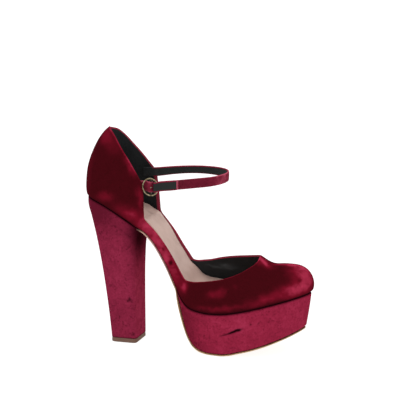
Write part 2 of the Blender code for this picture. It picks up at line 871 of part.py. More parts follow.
def mesh_object(name, points, faces):
    """Closed mesh object in metres with its faces turned out."""
    mesh = bpy.data.meshes.new(name)
    mesh.from_pydata([tuple(point * MM) for point in points], [], faces)
    shape = bmesh.new()
    shape.from_mesh(mesh)
    bmesh.ops.recalc_face_normals(shape, faces=shape.faces)
    if shape.calc_volume(signed=True) < 0:
        bmesh.ops.reverse_faces(shape, faces=shape.faces)
    shape.to_mesh(mesh)
    shape.free()
    obj = bpy.data.objects.new(name, mesh)
    bpy.context.scene.collection.objects.link(obj)
    return obj


def joined(name, operation, pieces):
    """One body from overlapping closed pieces, or the first cut by the others, as points in millimetres and faces."""
    objects = [mesh_object(f"{name}_{i}", *piece) for i, piece in enumerate(pieces)]
    whole = objects[0]
    for other in objects[1:]:
        step = whole.modifiers.new("step", "BOOLEAN")
        step.operation = operation
        step.solver = "EXACT"
        step.object = other
    bpy.context.view_layer.update()
    shaped = whole.evaluated_get(bpy.context.evaluated_depsgraph_get())
    mesh = bpy.data.meshes.new_from_object(shaped)
    points = np.array([vertex.co[:] for vertex in mesh.vertices]) / MM
    faces = [list(polygon.vertices) for polygon in mesh.polygons]
    for obj in objects:
        bpy.data.objects.remove(obj, do_unlink=True)
    return points, faces


def box(low, high):
    """Closed box between two corners."""
    corners = [(x, y, z) for x in (low[0], high[0]) for y in (low[1], high[1]) for z in (low[2], high[2])]
    faces = [[0, 1, 3, 2], [4, 6, 7, 5], [0, 4, 5, 1], [2, 3, 7, 6], [0, 2, 6, 4], [1, 5, 7, 3]]
    return np.array(corners), faces


def build_buckle():
    """Ring, its centre bar set toward the ankle, and the prong's short root."""
    turns = np.linspace(0, 2 * math.pi, 41)[:-1]
    circle = [ring_point(RING_RADIUS * math.cos(t), RING_RADIUS * math.sin(t), 0) for t in turns]
    ring = tube(circle, RING_WIRE, 8, True)
    ups = np.linspace(-1, 1, 13)
    bar_path = [ring_point(0, RING_RADIUS * u, BAR_INSET * (1 - u**6)) for u in ups]
    bar = tube(bar_path, BAR_RADIUS, 8, False)
    prong_path = [ring_point(along, 0, inward) for along, inward in PRONG]
    prong = tube(prong_path, PRONG_RADIUS, 8, False)
    SOLIDS["buckle"] = joined("buckle_part", "UNION", [ring, bar, prong])


def build_buckle_tab():
    """Tab that wraps the ring's centre bar, slotted at its fold for the prong."""
    path, lean = band_path(columns(TAB_COLUMNS, TAB), 1.6)
    band = band_solid(path, lean, TAB_WIDTH, TAB_THICK)
    middle = ring_point(0, 0, BAR_INSET)
    low = middle + np.array([-SLOT_BACK, -SLOT_OUT, -SLOT_HEIGHT / 2])
    high = middle + np.array([SLOT_FRONT, SLOT_IN, SLOT_HEIGHT / 2])
    slot = box(low, high)
    SOLIDS["buckle_tab"] = joined("tab_part", "DIFFERENCE", [band, slot])


def clear_scene():
    """Empty scene."""
    for obj in list(bpy.data.objects):
        bpy.data.objects.remove(obj, do_unlink=True)


def finish(name):
    """The piece's own material."""
    row = dict(zip(FINISH_COLUMNS, FINISHES[name]))
    material = bpy.data.materials.new(name)
    material.use_nodes = True
    shader = material.node_tree.nodes["Principled BSDF"]
    shader.inputs["Base Color"].default_value = (row["red"], row["green"], row["blue"], 1.0)
    shader.inputs["Roughness"].default_value = row["roughness"]
    shader.inputs["Metallic"].default_value = row["metal"]
    return material


def place_all():
    """Moves the whole shoe so that its plan box is centred over the origin, then makes the objects."""
    every = np.concatenate([points for points, _ in SOLIDS.values()])
    low = every.min(axis=0)
    high = every.max(axis=0)
    shift = np.array([(low[0] + high[0]) / 2, (low[1] + high[1]) / 2, low[2]])
    for name, (points, faces) in SOLIDS.items():
        obj = mesh_object(name, points - shift, faces)
        obj.data.materials.append(finish(name))
    print("shift", np.round(shift, 3), "size", np.round(high - low, 2))


def main():
    """Builds every piece and places the shoe."""
    clear_scene()
    build_upper()
    build_insole()
    build_platform()
    build_outsole()
    build_heel()
    build_heel_lift()
    build_ankle_strap()
    build_buckle()
    build_buckle_tab()
    place_all()


main()
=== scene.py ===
"""Looks of the right-foot platform pump: crushed velvet, dark lining, pale sock, tan sole and aged brass.

Shapes are worked out in millimetres in the last's own axes: x from the back of the heel to the toe, y to the
inner side of the foot, z up from the floor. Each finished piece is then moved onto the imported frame, which is
in metres.
"""

from __future__ import annotations

import logging
import math
from dataclasses import dataclass, field, replace
from enum import Enum
from typing import Any, Callable

import bmesh
import bpy
import numpy as np
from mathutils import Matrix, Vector, noise
from mathutils.kdtree import KDTree

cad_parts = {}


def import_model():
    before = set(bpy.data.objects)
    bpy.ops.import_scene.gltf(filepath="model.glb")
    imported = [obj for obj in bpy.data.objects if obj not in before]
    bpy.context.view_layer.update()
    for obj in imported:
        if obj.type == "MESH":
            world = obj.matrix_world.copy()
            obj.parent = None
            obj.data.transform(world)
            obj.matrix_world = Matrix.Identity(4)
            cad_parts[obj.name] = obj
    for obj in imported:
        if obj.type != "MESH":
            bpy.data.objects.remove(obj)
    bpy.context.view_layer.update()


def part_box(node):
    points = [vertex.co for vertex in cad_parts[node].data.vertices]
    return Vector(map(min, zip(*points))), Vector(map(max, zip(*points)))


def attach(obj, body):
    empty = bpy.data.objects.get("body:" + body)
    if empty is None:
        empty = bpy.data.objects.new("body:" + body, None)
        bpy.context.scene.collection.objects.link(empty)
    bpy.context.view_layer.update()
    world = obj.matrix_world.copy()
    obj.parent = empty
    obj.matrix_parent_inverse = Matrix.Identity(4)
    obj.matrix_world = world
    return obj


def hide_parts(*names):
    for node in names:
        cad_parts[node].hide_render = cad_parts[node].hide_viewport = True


LOG = logging.getLogger("pump")
MM = 0.001
BODY = "root"
TINY = 1e-12
NOISE_MIDDLE = 0.5
# Distance from a rim that keeps a lined face clear of the velvet trim, in millimetres
CLEAR_OF_RIM = 10.0
Rows = tuple[tuple[float, ...], ...]
Span = tuple[float, float]
Rgb = tuple[float, float, float]
Point = tuple[float, float, float]
# Swirls that stir the outlines of marks: size in millimetres, share of the reach
SWIRLS: Rows = ((7.0, 1.0), (2.6, 0.45))
SWIRL_SEED = 4


class Side(Enum):
    """The two sides of the foot, with the sign that turns a plan tangent outward."""

    OUTER = 1
    INNER = -1


class Skin(Enum):
    """Finish slots of a piece: its show side, its back side and what lies inside the lining."""

    SHOW = 0
    BACK = 1
    LINED = 2


def linear(red: float, green: float, blue: float) -> Rgb:
    """Turns a display colour from 0 to 255 into linear light.

    Args:
        red: Red of the display colour.
        green: Green of the display colour.
        blue: Blue of the display colour.

    Returns:
        The same colour in linear light, from 0 to 1.
    """
    shares = [value / 255 for value in (red, green, blue)]
    return tuple(v / 12.92 if v <= 0.04045 else ((v + 0.055) / 1.055) ** 2.4 for v in shares)


def smooth_max(first: np.ndarray, second: np.ndarray, reach: float) -> np.ndarray:
    """Larger of two fields, with the corner where they cross rounded off.

    Args:
        first: One field.
        second: The other field.
        reach: Width of the rounding, in the fields' own units.

    Returns:
        The rounded maximum.
    """
    near = np.maximum(reach - np.abs(first - second), 0)
    return np.maximum(first, second) + near**2 / (4 * reach)


def ease(share: np.ndarray) -> np.ndarray:
    """Share from 0 to 1 with a soft start and end."""
    share = np.clip(share, 0, 1)
    return share * share * (3 - 2 * share)


def ramp(value: np.ndarray, start: float, end: float) -> np.ndarray:
    """Soft rise from 0 at the start to 1 at the end."""
    return ease((value - start) / (end - start))


def plateau(value: np.ndarray, places: tuple[float, float, float, float]) -> np.ndarray:
    """Soft rise between the first two places and soft fall between the last two."""
    return ramp(value, *places[:2]) * (1 - ramp(value, *places[2:]))


def unit(vectors: np.ndarray) -> np.ndarray:
    """The same directions with a length of 1."""
    return vectors / np.maximum(np.linalg.norm(vectors, axis=1, keepdims=True), TINY)


def stirred(points: np.ndarray, reach: float) -> np.ndarray:
    """Points moved about by a smooth swirl, so that marks placed on them get uneven outlines.

    Args:
        points: Points of a surface, in last millimetres.
        reach: How far they are moved at most.

    Returns:
        The moved points.
    """
    noise.seed_set(SWIRL_SEED)
    moved = points.copy()
    for size, share in SWIRLS:
        swirl = [noise.noise_vector(Vector(point) / size)[:] for point in points]
        moved = moved + reach * share * np.array(swirl)
    return moved


class Knots:
    """Knots of a curve, with the lookup that every curve through them needs."""

    def __init__(self, knots: np.ndarray, values: np.ndarray) -> None:
        """Keeps the knots and the steps between them.

        Args:
            knots: Growing places of the knots.
            values: Value at each knot.
        """
        self.knots = np.asarray(knots, float)
        self.values = np.asarray(values, float)
        self.step = np.diff(self.knots)
        self.slope = np.diff(self.values) / self.step

    def find(self, at: np.ndarray) -> tuple[np.ndarray, np.ndarray]:
        """Looks up the step that each place lies in.

        Args:
            at: Places along the curve.

        Returns:
            The places, kept between the end knots, and the number of each one's step.
        """
        at = np.clip(np.asarray(at, float), self.knots[0], self.knots[-1])
        return at, np.clip(np.searchsorted(self.knots, at) - 1, 0, len(self.step) - 1)


class NaturalSpline(Knots):
    """Cubic spline through its knots, straight at both ends."""

    def __init__(self, knots: np.ndarray, values: np.ndarray) -> None:
        """Solves the bends once.

        Args:
            knots: Growing places of the knots.
            values: Value at each knot.
        """
        super().__init__(knots, values)
        count = len(self.knots)
        matrix = np.eye(count)
        right = np.zeros(count)
        for i in range(1, count - 1):
            matrix[i, i - 1 : i + 2] = self.step[i - 1], 2 * (self.step[i - 1] + self.step[i]), self.step[i]
            right[i] = 6 * (self.slope[i] - self.slope[i - 1])
        self.bend = np.linalg.solve(matrix, right)

    def __call__(self, at: np.ndarray) -> np.ndarray:
        """Works the spline out.

        Args:
            at: Places along the spline.

        Returns:
            Its value at each place.
        """
        at, i = self.find(at)
        a = (self.knots[i + 1] - at) / self.step[i]
        b = 1 - a
        curve = ((a**3 - a) * self.bend[i] + (b**3 - b) * self.bend[i + 1]) * self.step[i] ** 2 / 6
        return a * self.values[i] + b * self.values[i + 1] + curve


class LevelSpline(Knots):
    """Cubic through its knots that never swings past them, so level runs stay level."""

    def __init__(self, knots: np.ndarray, values: np.ndarray) -> None:
        """Works out the slope at each knot.

        Args:
            knots: Growing places of the knots.
            values: Value at each knot.
        """
        super().__init__(knots, values)
        slope = self.slope
        self.tangent = np.zeros(len(self.knots))
        self.tangent[0] = slope[0]
        self.tangent[-1] = slope[-1]
        for i in range(1, len(self.knots) - 1):
            if slope[i - 1] * slope[i] > 0:
                after = 2 * self.step[i] + self.step[i - 1]
                before = self.step[i] + 2 * self.step[i - 1]
                self.tangent[i] = (after + before) / (after / slope[i - 1] + before / slope[i])

    def __call__(self, at: np.ndarray) -> np.ndarray:
        """Works the curve out.

        Args:
            at: Places along the curve.

        Returns:
            Its value at each place.
        """
        at, i = self.find(at)
        h = self.step[i]
        t = (at - self.knots[i]) / h
        start = (2 * t**3 - 3 * t**2 + 1) * self.values[i] + (t**3 - 2 * t**2 + t) * h * self.tangent[i]
        end = (3 * t**2 - 2 * t**3) * self.values[i + 1] + (t**3 - t**2) * h * self.tangent[i + 1]
        return start + end


@dataclass
class Last:
    """The last that the shoe is made on: footbed line, sole line and the ribs round the feather edge."""

    shift: np.ndarray
    gap: float = 0.3
    bulge_height: float = 9.0
    sole_thick: float = 1.3
    # Rows of the other side that carry a side's splines past the heel back and the toe tip
    ghosts: int = 4
    # Half of the stretch that a slope is read over, in side view and in plan
    slope_reach: float = 0.25
    turn_reach: float = 0.2
    # Where the search for an x along the feather edge starts, past the heel's back, and its steps
    search_start: float = 20.0
    search_steps: int = 4000
    # Footbed line in side view: x, z
    footbed_rows: Rows = (
        (-2.0, 138.6),
        (1.5, 137.8),
        (18.6, 133.6),
        (30.0, 128.6),
        (40.0, 122.9),
        (50.0, 117.0),
        (57.0, 112.6),
        (63.0, 109.4),
        (68.4, 104.4),
        (74.0, 97.4),
        (80.9, 86.2),
        (87.8, 73.4),
        (93.8, 61.2),
        (99.8, 50.4),
        (107.4, 43.2),
        (116.0, 40.8),
        (128.0, 40.0),
        (140.0, 40.6),
        (154.0, 42.8),
        (170.0, 46.4),
        (186.0, 50.2),
        (200.0, 53.4),
        (210.0, 55.4),
        (219.0, 57.0),
    )
    # Underside of the sole in side view: x, z
    sole_rows: Rows = (
        (94.2, 56.6),
        (95.2, 48.4),
        (97.2, 38.5),
        (101.3, 23.5),
        (106.0, 11.6),
        (111.7, 4.6),
        (119.4, 1.0),
        (128.0, 0.0),
        (138.0, 0.0),
        (147.0, 1.1),
        (156.0, 3.4),
        (166.0, 5.9),
        (176.0, 8.9),
        (187.0, 12.8),
        (200.0, 17.9),
        (208.0, 21.3),
        (214.0, 24.0),
        (219.0, 26.3),
    )
    # Stations: x, outer y, inner y, spine x, spine y, rise of the rib, fullness, bulge over the feather
    station_rows: Rows = (
        (1.5, 0.0, 0.0, 40.0, 0.0, 69.6, 0.88, 1.2),
        (3.4, -9.0, 9.0, 43.5, 0.0, 71.4, 0.89, 1.2),
        (8.6, -16.6, 16.6, 50.0, 0.0, 77.0, 0.91, 1.4),
        (17.5, -22.2, 22.2, 56.0, 0.0, 88.6, 0.94, 1.7),
        (30.0, -25.0, 25.0, 52.0, 0.0, 101.0, 1.00, 2.0),
        (45.0, -25.6, 25.6, 43.0, 0.0, 110.0, 1.00, 1.6),
        (56.0, -25.2, 25.0, 38.0, 0.0, 110.0, 1.00, 1.2),
        (63.0, -24.8, 23.8, 38.0, 0.0, 108.0, 1.00, 0.9),
        (75.0, -24.0, 21.2, 66.0, 0.0, 100.0, 1.00, 0.5),
        (90.0, -25.2, 21.2, 98.0, 0.0, 84.0, 1.00, 0.5),
        (105.0, -30.6, 28.6, 123.0, 1.0, 64.0, 1.00, 1.0),
        (122.0, -36.4, 37.2, 142.0, 2.5, 56.0, 1.04, 1.8),
        (140.0, -39.2, 41.2, 157.5, 3.5, 50.5, 1.06, 2.2),
        (158.0, -38.6, 41.6, 168.0, 4.5, 43.4, 1.02, 2.4),
        (175.0, -34.4, 39.2, 175.5, 5.0, 33.0, 0.88, 2.4),
        (190.0, -27.2, 34.0, 182.5, 5.5, 29.0, 0.78, 2.4),
        (202.0, -18.2, 27.4, 187.6, 5.8, 26.8, 0.72, 2.3),
        (210.0, -8.4, 19.8, 190.6, 6.0, 25.6, 0.69, 2.1),
        (214.0, -0.6, 12.6, 192.2, 6.0, 25.0, 0.67, 2.0),
        (215.2, 6.0, 6.0, 192.8, 6.0, 24.8, 0.67, 2.0),
    )

    def __post_init__(self) -> None:
        """Solves the curves that every piece is worked out from."""
        self.footbed = NaturalSpline(*np.array(self.footbed_rows).T)
        self._sole = LevelSpline(*np.array(self.sole_rows).T)
        x, outer, inner, spine_x, spine_y, rise, fullness, bulge = np.array(self.station_rows).T
        steps = np.hypot(np.diff(x), np.diff(outer)) + np.hypot(np.diff(x), np.diff(inner))
        self.stations = np.concatenate([[0.0], np.cumsum(steps / 2)])
        self.length = float(self.stations[-1])
        self.x = self._loop(x, x)
        self.y = {Side.OUTER: self._loop(outer, inner), Side.INNER: self._loop(inner, outer)}
        self.spine_x = self._loop(spine_x, spine_x)
        self.spine_y = self._loop(spine_y, spine_y)
        self.rise = self._loop(rise, rise)
        self.fullness = self._loop(fullness, fullness)
        self.bulge = self._loop(bulge, bulge)

    def _loop(self, here: np.ndarray, there: np.ndarray) -> NaturalSpline:
        """Spline along one side that the other side's rows carry past the heel back and the toe tip.

        Args:
            here: Values at this side's stations.
            there: Values at the other side's stations.

        Returns:
            The spline over distances along the feather edge.
        """
        before = slice(self.ghosts, 0, -1)
        after = slice(-2, -2 - self.ghosts, -1)
        knots = [-self.stations[before], self.stations, 2 * self.length - self.stations[after]]
        return NaturalSpline(np.concatenate(knots), np.concatenate([there[before], here, there[after]]))

    def cosine(self, line: Callable[[np.ndarray], np.ndarray], x: np.ndarray) -> np.ndarray:
        """Cosine of a side-view line's slope, to turn a thickness across it into a height."""
        rise = (line(x + self.slope_reach) - line(x - self.slope_reach)) / (2 * self.slope_reach)
        return 1 / np.sqrt(1 + rise**2)

    def sole(self, x: np.ndarray) -> np.ndarray:
        """Height of the sole's underside: a thin layer under the waist, then the platform's own line.

        Args:
            x: Places along the shoe.

        Returns:
            One height for each place.
        """
        x = np.asarray(x, float)
        waist = self.footbed(x) - (self.gap + self.sole_thick) / self.cosine(self.footbed, x)
        return np.where(x < self.sole_rows[0][0], waist, self._sole(x))

    def seam(self, points: np.ndarray, reach: float) -> np.ndarray:
        """How near each point lies to the feather line, 1 on it."""
        return np.exp(-(((points[:, 2] - self.footbed(points[:, 0])) / reach) ** 2))

    def s_at(self, x: float) -> float:
        """Distance along the feather edge where it reaches x."""
        s = np.linspace(self.search_start, self.length, self.search_steps)
        return float(np.interp(x, self.x(s), s))

    def outward(self, side: Side, s: np.ndarray) -> tuple[np.ndarray, np.ndarray]:
        """Unit plan direction that points out of the shoe.

        Args:
            side: Side of the foot.
            s: Distances along the feather edge.

        Returns:
            The direction's x and y parts.
        """
        before = s - self.turn_reach
        after = s + self.turn_reach
        along_x = self.x(after) - self.x(before)
        along_y = self.y[side](after) - self.y[side](before)
        length = np.hypot(along_x, along_y)
        return along_y / length * side.value, -along_x / length * side.value

    def inset(self, side: Side, s: np.ndarray, inset: np.ndarray | float) -> np.ndarray:
        """Plan points moved in from the feather edge.

        Args:
            side: Side of the foot.
            s: Distances along the feather edge.
            inset: How far in, one value or one for each distance.

        Returns:
            One x, y row for each distance.
        """
        out_x, out_y = self.outward(side, s)
        return np.column_stack([self.x(s) - out_x * inset, self.y[side](s) - out_y * inset])

    def strip(self, s: np.ndarray, inset: np.ndarray | float, across: int) -> np.ndarray:
        """Plan grid between the two sides.

        Args:
            s: Distances along the feather edge, one row of the grid each.
            inset: How far the sides stand in from the feather edge.
            across: Points from side to side.

        Returns:
            The grid's x, y rows, row after row.
        """
        outer = self.inset(Side.OUTER, s, inset)
        inner = self.inset(Side.INNER, s, inset)
        share = np.linspace(0, 1, across)[None, :, None]
        return (outer[:, None] + (inner - outer)[:, None] * share).reshape(-1, 2)

    def rib(self, side: Side, s: np.ndarray, angle: np.ndarray, tuck: "Tuck") -> np.ndarray:
        """Outside of the upper: ribs that rise from the feather edge and close on the spine.

        Args:
            side: Side of the foot.
            s: Distances along the feather edge.
            angle: Turn along each rib, a quarter turn on the spine.
            tuck: How the lowest part curls under.

        Returns:
            One x, y, z row for each pair of s and angle.
        """
        s = s[:, None]
        x = self.x(s)
        y = self.y[side](s)
        fullness = self.fullness(s)
        cosine = np.clip(np.cos(angle), 0, 1)
        across = 1 - cosine**fullness
        up = self.rise(s) * np.clip(np.sin(angle), 0, 1) ** fullness
        swell = up / self.bulge_height
        swell = self.bulge(s) * swell * np.exp(1 - swell) * cosine
        swell = swell - tuck.depth * np.clip(1 - up / tuck.height, 0, 1) ** 2
        out_x, out_y = self.outward(side, s)
        grid = [
            x + (self.spine_x(s) - x) * across + out_x * swell,
            y + (self.spine_y(s) - y) * across + out_y * swell,
            self.footbed(x) + self.gap / 2 + up,
        ]
        return np.stack(grid, axis=-1).reshape(-1, 3)


@dataclass(frozen=True)
class Tuck:
    """How the upper's lowest part curls under where it is lasted."""

    height: float = 2.8
    depth: float = 1.5


@dataclass(frozen=True)
class Fold:
    """A soft ridge or trough placed along a line on a surface, in last millimetres."""

    line: tuple[Point, ...]
    width: float
    height: float
    # How far into its taper the line starts and ends, as a share
    end_share: float = 0.08

    def lift(self, points: np.ndarray) -> np.ndarray:
        """How far each point is moved along its normal.

        Args:
            points: Points of the surface.

        Returns:
            One distance for each point, negative in a trough.
        """
        line = np.array(self.line)
        best = np.full(len(points), np.inf)
        along = np.zeros(len(points))
        parts = len(line) - 1
        for i in range(parts):
            way = line[i + 1] - line[i]
            share = np.clip((points - line[i]) @ way / (way @ way), 0, 1)
            away = np.linalg.norm(points - line[i] - share[:, None] * way, axis=1)
            nearer = away < best
            best = np.where(nearer, away, best)
            along = np.where(nearer, (i + share) / parts, along)
        taper = np.sin(np.pi * (self.end_share + (1 - 2 * self.end_share) * along))
        return self.height * taper * np.exp(-((best / self.width) ** 2))

    def spread(self, points: np.ndarray) -> np.ndarray:
        """The same shape read as the strength of a mark."""
        return self.lift(points)


@dataclass(frozen=True)
class Patch:
    """A place where the nap is brushed light or dark, with painted highlights and painted shade, or a stain, in
    last millimetres.
    """

    at: Point
    reach: Point
    strength: float
    steep: float = 1.4

    def spread(self, points: np.ndarray) -> np.ndarray:
        """Strength at each point, fading out from the middle."""
        away = (points - np.array(self.at)) / np.array(self.reach)
        return self.strength * np.exp(-np.sum(away**2, axis=1) ** self.steep)


@dataclass
class Surface:
    """Points in last millimetres with faces of three or four corners; a triangle repeats its last corner."""

    points: np.ndarray
    faces: np.ndarray
    slots: np.ndarray = field(default_factory=lambda: np.zeros(0, int))
    values: dict[str, np.ndarray] = field(default_factory=dict)

    def __post_init__(self) -> None:
        """Gives every face the show finish unless it says otherwise."""
        if len(self.slots) != len(self.faces):
            self.slots = np.full(len(self.faces), Skin.SHOW.value)

    @staticmethod
    def grid(rows: int, across: int, closed: bool = False) -> np.ndarray:
        """Faces of a grid that is stored row after row.

        Args:
            rows: Number of rows.
            across: Points in a row.
            closed: Whether the last row joins the first.

        Returns:
            One row of four corners for each face.
        """
        i = np.arange(rows if closed else rows - 1)[:, None]
        k = np.arange(across - 1)[None, :]
        after = (i + 1) % rows
        corners = [i * across + k, after * across + k, after * across + k + 1, i * across + k + 1]
        return np.stack(corners, axis=-1).reshape(-1, 4)

    @staticmethod
    def side(edges: np.ndarray, count: int, level: int) -> np.ndarray:
        """Faces that join the open edges of one sheet to those of the next.

        Args:
            edges: Open edges of the first sheet.
            count: Points in a sheet.
            level: Number of the upper sheet of the two.

        Returns:
            One row of four corners for each edge.
        """
        start, end = edges.T + level * count
        return np.stack([end, start, start + count, end + count], axis=1)

    def edges(self) -> np.ndarray:
        """Finds the surface's open edges.

        Returns:
            Both points of each edge that only one face uses, in that face's turn.
        """
        ends = np.concatenate([self.faces[:, [i, (i + 1) % 4]] for i in range(4)])
        ends = ends[ends[:, 0] != ends[:, 1]]
        _, index, count = np.unique(np.sort(ends, axis=1), axis=0, return_inverse=True, return_counts=True)
        return ends[count[index.reshape(-1)] == 1]

    def normals(self) -> np.ndarray:
        """Works out the way that the surface faces.

        Returns:
            Unit normal at each point, averaged over the faces round it.
        """
        corners = self.points[self.faces]
        spread = np.cross(corners[:, 2] - corners[:, 0], corners[:, 3] - corners[:, 1])
        total = np.zeros_like(self.points)
        for i in range(4):
            np.add.at(total, self.faces[:, i], spread)
        return unit(total)

    def welded(self, within: float = 1e-3) -> "Surface":
        """The same surface with points that coincide made one and faces that collapse dropped.

        Args:
            within: Largest distance between points that are one.

        Returns:
            The cleaned surface, without points that no face uses.
        """
        keys = np.round(self.points / within).astype(np.int64)
        _, first, index = np.unique(keys, axis=0, return_index=True, return_inverse=True)
        index = index.reshape(-1)
        faces = []
        slots = []
        mapped = index[self.faces]
        same = (mapped == np.roll(mapped, -1, axis=1)).any(axis=1)
        for face, slot, collapsed in zip(mapped, self.slots, same):
            ring = list(face)
            if collapsed:
                ring = [corner for i, corner in enumerate(ring) if corner != ring[i - 1]]
                if len(ring) < 3:
                    continue
                ring = ring + ring[-1:] * (4 - len(ring))
            faces.append(ring)
            slots.append(slot)
        faces = np.array(faces)
        used, renamed = np.unique(faces, return_inverse=True)
        values = {name: value[first][used] for name, value in self.values.items()}
        return Surface(self.points[first][used], renamed.reshape(-1, 4), np.array(slots), values)

    def trimmed(self, margin: np.ndarray) -> "Surface":
        """Cuts the surface along the line where the margin is zero and keeps what is positive.

        Args:
            margin: One value for each point.

        Returns:
            The part that is kept.
        """
        inside = margin >= 0
        count = inside[self.faces].sum(axis=1)
        whole = self.faces[count == 4]
        part = self.faces[(count > 0) & (count < 4)]
        halves = np.concatenate([part[:, [0, 1, 2]], part[:, [0, 2, 3]]])
        held = inside[halves].sum(axis=1)
        kept = [whole, halves[held == 3][:, [0, 1, 2, 2]]]
        points = [self.points]
        place = len(self.points)
        for number in (1, 2):
            odd = halves[held == number]
            lone = inside[odd] if number == 1 else ~inside[odd]
            turn = np.argmax(lone, axis=1)
            a, b, c = (odd[np.arange(len(odd)), (turn + i) % 3] for i in range(3))
            cuts = []
            for end in (b, c):
                share = margin[a] / (margin[a] - margin[end])
                points.append(self.points[a] + (self.points[end] - self.points[a]) * share[:, None])
                cuts.append(place + np.arange(len(odd)))
                place += len(odd)
            if number == 1:
                kept.append(np.stack([a, cuts[0], cuts[1], cuts[1]], axis=1))
            else:
                kept.append(np.stack([cuts[0], b, c, cuts[1]], axis=1))
        return Surface(np.concatenate(points), np.concatenate(kept)).welded()

    def shell(self, wall: float, rim: float, levels: int = 4) -> "Surface":
        """Closed wall under this surface, with rounded rims; the back of it takes the back finish.

        Args:
            wall: Thickness of the wall.
            rim: How far the middle of a rim stands out past the edge.
            levels: Steps across a rim.

        Returns:
            The closed wall.
        """
        normals = self.normals()
        edges = self.edges()
        count = len(self.points)
        ways = np.cross(self.points[edges[:, 1]] - self.points[edges[:, 0]], normals[edges[:, 0]])
        out = np.zeros_like(self.points)
        for end in (0, 1):
            np.add.at(out, edges[:, end], ways)
        out = unit(out)
        shares = np.linspace(0, 1, levels + 1)
        sheets = [self.points - normals * wall * t + out * rim * math.sin(math.pi * t) for t in shares]
        faces = [self.faces, self.faces[:, [3, 2, 1, 0]] + count * levels]
        slots = [np.full(len(self.faces), skin.value) for skin in (Skin.SHOW, Skin.BACK)]
        for level in range(levels):
            faces.append(Surface.side(edges, count, level))
            skin = Skin.SHOW if level < levels - 1 else Skin.BACK
            slots.append(np.full(len(edges), skin.value))
        values = {name: np.tile(value, levels + 1) for name, value in self.values.items()}
        return Surface(np.concatenate(sheets), np.concatenate(faces), np.concatenate(slots), values).welded()

    @staticmethod
    def stack(sheets: list[np.ndarray], faces: np.ndarray) -> "Surface":
        """Closed block from sheets that share one face list.

        Args:
            sheets: Points of each level; the first and the last are faced.
            faces: Faces of one sheet.

        Returns:
            The closed block.
        """
        edges = Surface(sheets[0], faces).edges()
        count = len(sheets[0])
        last = count * (len(sheets) - 1)
        solid = [faces, faces[:, ::-1] + last]
        for level in range(len(sheets) - 1):
            solid.append(Surface.side(edges, count, level))
        return Surface(np.concatenate(sheets), np.concatenate(solid)).welded()

    @staticmethod
    def tube(path: np.ndarray, rings: np.ndarray, closed: bool = False) -> "Surface":
        """Closed tube through rings of points, with a fan over each end of an open path.

        Args:
            path: Middle of each ring.
            rings: Points of the rings, by ring, by turn and by axis.
            closed: Whether the last ring joins the first.

        Returns:
            The tube: its sides ring after ring, then the two fans.
        """
        rows, around = rings.shape[:2]
        i = np.arange(rows if closed else rows - 1)[:, None]
        k = np.arange(around)[None, :]
        after = (i + 1) % rows
        turned = (k + 1) % around
        corners = [i * around + k, i * around + turned, after * around + turned, after * around + k]
        faces = [np.stack(corners, axis=-1).reshape(-1, 4)]
        points = rings.reshape(-1, 3)
        if not closed:
            for row in (0, rows - 1):
                rim = row * around + k[0]
                ahead = row * around + turned[0]
                faces.append(np.stack([np.full(around, len(points)), rim, ahead, ahead], axis=1))
                points = np.concatenate([points, path[row : row + 1]])
        return Surface(points, np.concatenate(faces))

    def pressed(self, folds: tuple[Fold, ...]) -> "Surface":
        """Moves the points along their normals by the folds placed on the surface.

        Args:
            folds: The folds.

        Returns:
            The same surface.
        """
        if folds:
            lift = sum(fold.lift(self.points) for fold in folds)
            self.points = self.points + self.normals() * lift[:, None]
        return self

    def marked(
        self, name: str, base: np.ndarray | float, marks: tuple[Patch | Fold, ...], stir: float = 0.0
    ) -> "Surface":
        """Gives each point a value that the finish reads, from the marks placed on the surface.

        Args:
            name: Name of the value.
            base: Value away from every mark, one or one for each point.
            marks: The marks.
            stir: How far the marks' outlines are made uneven.

        Returns:
            The same surface.
        """
        total = np.zeros(len(self.points)) + base
        spots = stirred(self.points, stir) if stir else self.points
        for mark in marks:
            total = total + mark.spread(spots)
        self.values[name] = total
        return self

    def away_from(self, targets: np.ndarray) -> np.ndarray:
        """Measures how far the surface lies from some points.

        Args:
            targets: The points.

        Returns:
            Distance from each point of the surface to the nearest of them.
        """
        tree = KDTree(len(targets))
        for i, target in enumerate(targets):
            tree.insert(Vector(target), i)
        tree.balance()
        return np.array([tree.find(Vector(point))[2] for point in self.points])

    def piece(
        self, name: str, last: Last, finishes: list[bpy.types.Material], sharp_deg: float = 50.0
    ) -> bpy.types.Object:
        """Makes the object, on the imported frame, with its faces turned out.

        Args:
            name: Name of the piece.
            last: The last, which knows where the frame lies.
            finishes: Materials of the slots.
            sharp_deg: Edges sharper than this are shaded as edges.

        Returns:
            The new object, in the scene.
        """
        mesh = bpy.data.meshes.new(name)
        rings = [face[:3] if face[2] == face[3] else face for face in self.faces.tolist()]
        mesh.from_pydata(((self.points - last.shift) * MM).tolist(), [], rings)
        mesh.polygons.foreach_set("material_index", self.slots.astype(np.int32))
        shape = bmesh.new()
        shape.from_mesh(mesh)
        bmesh.ops.recalc_face_normals(shape, faces=shape.faces)
        if shape.calc_volume(signed=True) < 0:
            bmesh.ops.reverse_faces(shape, faces=shape.faces)
        shape.to_mesh(mesh)
        shape.free()
        for label, value in self.values.items():
            layer = mesh.attributes.new(label, "FLOAT", "POINT")
            layer.data.foreach_set("value", value.astype(np.float32))
        mesh.shade_smooth()
        mesh.set_sharp_from_angle(angle=math.radians(sharp_deg))
        for finish in finishes:
            mesh.materials.append(finish)
        obj = bpy.data.objects.new(name, mesh)
        bpy.context.scene.collection.objects.link(obj)
        return obj


